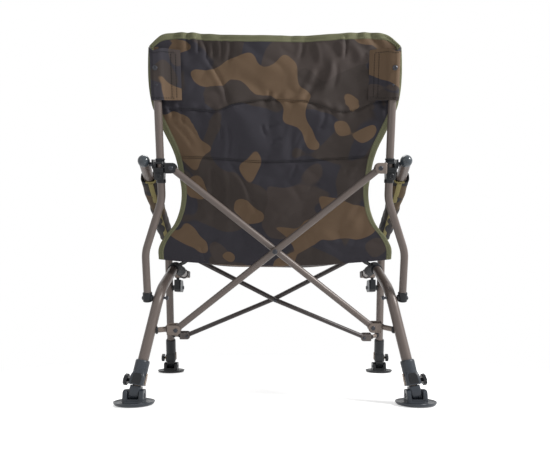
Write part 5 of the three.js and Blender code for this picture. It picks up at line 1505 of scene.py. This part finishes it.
def swell(made, hold, frames=20, cap=3.0):
    """Blows a closed mesh up a little as cloth: a pressure inside and no weight for a few frames, and no
    point moves further than a cap. Held points stay."""
    start = numbers_of(made.data.vertices, "co")
    held = np.nonzero(hold(start))[0]
    group = made.vertex_groups.new(name="held")
    group.add([int(i) for i in held], 1.0, "REPLACE")
    cloth = made.modifiers.new("swell", "CLOTH")
    cloth.settings.use_pressure = True
    cloth.settings.uniform_pressure_force = 4.0
    cloth.settings.effector_weights.gravity = 0.0
    cloth.settings.vertex_group_mass = "held"
    cloth.settings.quality = 5
    cloth.point_cache.frame_end = frames
    scene = bpy.context.scene
    for number in range(1, frames + 1):
        scene.frame_set(number)
    shaped = made.evaluated_get(bpy.context.evaluated_depsgraph_get()).to_mesh()
    move = numbers_of(shaped.vertices, "co") - start
    far = np.linalg.norm(move, axis=-1, keepdims=True)
    move *= np.minimum(1.0, cap * MM / np.maximum(far, 1e-9))
    made.modifiers.remove(cloth)
    made.vertex_groups.clear()
    made.data.vertices.foreach_set("co", (start + move).ravel().astype(np.float32))
    scene.frame_set(1)


def from_axis(p, origin, direction):
    """Vectors from an axis straight out to points, and how far along the axis each point is."""
    shaft = (p - origin) @ direction
    return p - origin - shaft[:, None] * direction, shaft


def keep_clear_of_arm(mesh, origin, direction):
    """Sets a sleeve's bore to its radius and keeps its outer side clear of the arm, so that the arm doesn't
    show through. Vertices that face along the arm stay."""
    spots, facing = numbers_of(mesh.vertices, "co"), numbers_of(mesh.vertices, "normal")
    radial, shaft = from_axis(spots, origin, direction)
    reach = np.linalg.norm(radial, axis=-1)
    outward = (facing * radial).sum(-1) > 0
    wanted = np.where(outward, np.maximum(reach, ARM_SLEEVE_CLEAR * MM), ARM_SLEEVE_BORE * MM)
    wanted = np.where(np.abs(facing @ direction) > 0.6, reach, wanted)
    spots = origin + shaft[:, None] * direction + radial * (wanted / reach)[:, None]
    mesh.vertices.foreach_set("co", spots.ravel().astype(np.float32))
    mesh.update()


def line_bore(mesh, origin, direction):
    """Gives a sleeve its print, and the black lining on the faces that are near the arm and face it."""
    radial, _ = from_axis(numbers_of(mesh.polygons, "center"), origin, direction)
    facing_arm = (numbers_of(mesh.polygons, "normal") * radial).sum(-1) < 0
    inside = (np.linalg.norm(radial, axis=-1) < 0.016) & facing_arm
    mesh.materials.clear()
    mesh.materials.append(sleeve_print)
    mesh.materials.append(black_lining)
    mesh.polygons.foreach_set("material_index", inside.astype(np.int32))
    mesh.polygons.foreach_set("use_smooth", np.ones(len(mesh.polygons), bool))


def mouth_tape(loop, way, place):
    """Tape round a sleeve's mouth: a small rounded section carried round the loop. The rear mouth's tape is
    khaki on one stretch."""
    closed = np.concatenate([loop, loop[:1]])
    section = eased([(-3.6, -1.3), (3.6, -1.3), (3.6, 1.3), (-3.6, 1.3)], 1.2, True, 3)
    outward = unit(closed - np.array([0, 0, loop[0, 2]]))
    rings = closed[:-1, None] + section[None, :, :1] * UP + section[None, :, 1:] * outward[:-1, None]
    faces, k, i = loop_faces(*rings.shape[:2])
    faces = faces[:, [0, 3, 2, 1]]
    step = np.stack([k * 4.0, i * 1.0], -1)
    spots = np.stack([step, step + (4, 0), step + (4, 1), step + (0, 1)], 1)
    angle = 2 * np.pi * k / len(rings)
    khaki = (np.abs(angle - 2.2) < 0.8) if way < 0 else np.zeros(len(k), bool)
    points = place(rings.reshape(-1, 3))
    stretches = ((khaki, khaki_tape), (~khaki, black_lining if way < 0 else olive_tape))
    return [((points, [(faces[chosen], spots[chosen])]),
             finish) for chosen, finish in stretches if chosen.any()]


def arm_sleeve(side):
    """Padded sleeve on the arm: a squarish padded tube whose size swells and draws in along its length, round
    the arm's bore, with tape round both mouths and a zip tape below."""
    s = name_of(side)
    arm = front_leg_path(1)
    end, axis = arm[-1], unit(arm[-2] - arm[-1])
    place = along(end + ARM_SLEEVE_START * axis, axis, 1)
    rows, columns = 92, 48
    t = np.linspace(0, 1, rows)[:, None]
    a = 2 * np.pi * np.arange(columns)[None] / columns
    puff = table(ARM_SLEEVE_PUFF, t[:, 0])[:, None]
    ripples = 1 + 0.018 * np.sin(31 * t + 2 * a) + 0.015 * np.sin(19 * t - 3 * a) + 0.012 * np.sin(47 * t)
    squared = lambda value: np.sign(value) * np.abs(value) ** 0.5
    size = 0.95 * puff * ripples
    x, y = ARM_SLEEVE_HALF[0] * size * squared(np.cos(a)), ARM_SLEEVE_HALF[1] * size * squared(np.sin(a))
    z = np.broadcast_to(ARM_SLEEVE_LENGTH * t, x.shape)
    outer = np.stack([x, y, z], -1)
    bore = np.stack(np.broadcast_arrays(ARM_SLEEVE_BORE * np.cos(a), ARM_SLEEVE_BORE * np.sin(a),
                                        ARM_SLEEVE_LENGTH * t), -1)
    first_lip = 0.5 * (outer[0] + bore[0]) - (0, 0, 1.5)
    last_lip = 0.5 * (outer[-1] + bore[-1]) + (0, 0, 1.5)
    rings = np.concatenate([outer, last_lip[None], bore[::-1], first_lip[None]])
    faces, _, _ = loop_faces(len(rings), columns)
    points = rings.reshape(-1, 3)
    skin = (points, [(faces, points[:, [0, 2]][faces])])
    skin = mirrored([(moved(skin, place), sleeve_print)], side)[0][0]
    made = piece(f"{s}_arm_pad", [(skin, sleeve_print)], None, crease=180)
    origin = (on_side(end, side) + SHIFT) * MM
    direction = unit(on_side(end + axis, side) - on_side(end, side))
    swell(made, hold=lambda p: np.linalg.norm(from_axis(p, origin, direction)[0], axis=-1) < 0.0145)
    keep_clear_of_arm(made.data, origin, direction)
    line_bore(made.data, origin, direction)
    finer = made.modifiers.new("finer", "SUBSURF")
    finer.levels = finer.render_levels = 1
    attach(made, f"{s}_side")
    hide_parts(f"{s}_arm_sleeve")
    extras = []
    for row, way in ((0, -1), (-1, 1)):
        extras += mouth_tape(outer[row] * (0.985, 0.985, 1) + (0, 0, way * 0.6), way, place)
    zip_t = np.linspace(0.005, 0.995, 90)
    zip_size = 0.97 * table(ARM_SLEEVE_PUFF, zip_t)
    lower = np.stack([np.full_like(zip_t, -5.0), ARM_SLEEVE_HALF[1] * zip_size + 1,
                      ARM_SLEEVE_LENGTH * zip_t], -1)
    strip = carried(lower, eased([(-6, -1.4), (6, -1.4), (6, 1.4), (-6, 1.4)], 0.9, True, 3), (1, 0, 0))
    extras.append((moved(strip, place), khaki_tape))
    piece(f"{s}_arm_pad_tape", mirrored(extras, side), f"{s}_side", crease=60)


# Making everything
for side in (1, -1):
    tubes_of(side)
    upper_clevis(side, REAR_NEAR if side > 0 else REAR_FAR)
    leg_bracket(side, "rear", REAR_FAR if side > 0 else REAR_NEAR)
    leg_bracket(side, "front", FRONT_NEAR if side > 0 else FRONT_FAR)
    knuckle_of(side)
    peg_of(side)
    ball_of(side)
    post_cap_of(side)
    link_of(side)
    leg_unit(side, "rear")
    leg_unit(side, "front")
    make_pocket(side)
    pocket_screw(side)
    rail_sleeve(side)
    arm_sleeve(side)
crossed_tubes()
cross_bolts()
make_back()
make_seat()


# Floor, light and camera
def seen_directly(tree):
    """1 for rays from the camera, off mirrors and through glass, and 0 for all others."""
    rays = add(tree, "LightPath").outputs
    seen = calc(tree, "MAXIMUM", rays["Is Camera Ray"], rays["Is Glossy Ray"])
    return calc(tree, "MAXIMUM", seen, rays["Is Transmission Ray"])


def floor():
    """A broad pale floor. Round the object it is lit, so it keeps the object's shadow; further out it is
    plain white to the camera and to reflections."""
    bpy.ops.mesh.primitive_plane_add(size=16, location=(0, 0, -0.0004))
    made = bpy.context.object
    made.name = "pale_floor"
    finish, tree, principled = new_material("pale floor", Roughness=0.9, Specular_IOR_Level=0.1,
                                            Emission_Color=(1, 1, 1, 1))
    principled.inputs["Base Color"].default_value = (0.93, 0.93, 0.93, 1)
    white = add(tree, "Emission", {"Color": (1, 1, 1, 1), "Strength": 1.0})
    seen = seen_directly(tree)
    tree.links.new(calc(tree, "MULTIPLY", seen, 0.62), principled.inputs["Emission Strength"])
    distance = add(tree, "VectorMath", {0: add(tree, "TexCoord").outputs["Object"]},
                   operation="LENGTH").outputs["Value"]
    sockets = {"Value": distance, "From Min": 0.5, "From Max": 1.1}
    far = add(tree, "MapRange", sockets, interpolation_type="SMOOTHSTEP").outputs["Result"]
    mixed = add(tree, "MixShader", {0: calc(tree, "MULTIPLY", far, seen), 1: principled.outputs[0],
                                    2: white.outputs[0]})
    tree.links.new(mixed.outputs[0], tree.nodes["Material Output"].inputs["Surface"])
    made.data.materials.append(finish)


floor()
world = bpy.data.worlds.new("studio")
bpy.context.scene.world = world
world.use_nodes = True
sky = world.node_tree
strength = add(sky, "MapRange", {"Value": seen_directly(sky), "To Min": 0.22, "To Max": 1.0})
sky.links.new(strength.outputs["Result"], sky.nodes["Background"].inputs["Strength"])
sky.nodes["Background"].inputs["Color"].default_value = (1, 1, 1, 1)


def soft_light(name, place, aim, size, power):
    """A square soft light at a place, turned to what it aims at."""
    lamp = bpy.data.lights.new(name, "AREA")
    lamp.energy, lamp.size = power, size
    made = bpy.data.objects.new(name, lamp)
    bpy.context.scene.collection.objects.link(made)
    made.location = place
    made.rotation_euler = (Vector(aim) - Vector(place)).to_track_quat("-Z", "Y").to_euler()


soft_light("key", (2.3, -1.3, 1.9), (0, 0, 0.45), 0.7, 78)
soft_light("fill", (-2.0, -2.4, 1.0), (0, 0, 0.4), 2.0, 7)
soft_light("top", (-0.2, 0.6, 2.7), (0, 0, 0.4), 1.4, 42)

camera_data = bpy.data.cameras.new("camera")
camera_data.lens, camera_data.sensor_width, camera_data.shift_y = 33.0, 36.0, 0.0618
camera = bpy.data.objects.new("camera", camera_data)
bpy.context.scene.collection.objects.link(camera)
camera.location = (np.array([0.0, -1510.0, 200.0]) + SHIFT) * MM
camera.rotation_euler = (math.radians(96.0), 0, 0)
bpy.context.scene.camera = camera
bpy.context.scene.view_settings.view_transform = "Standard"
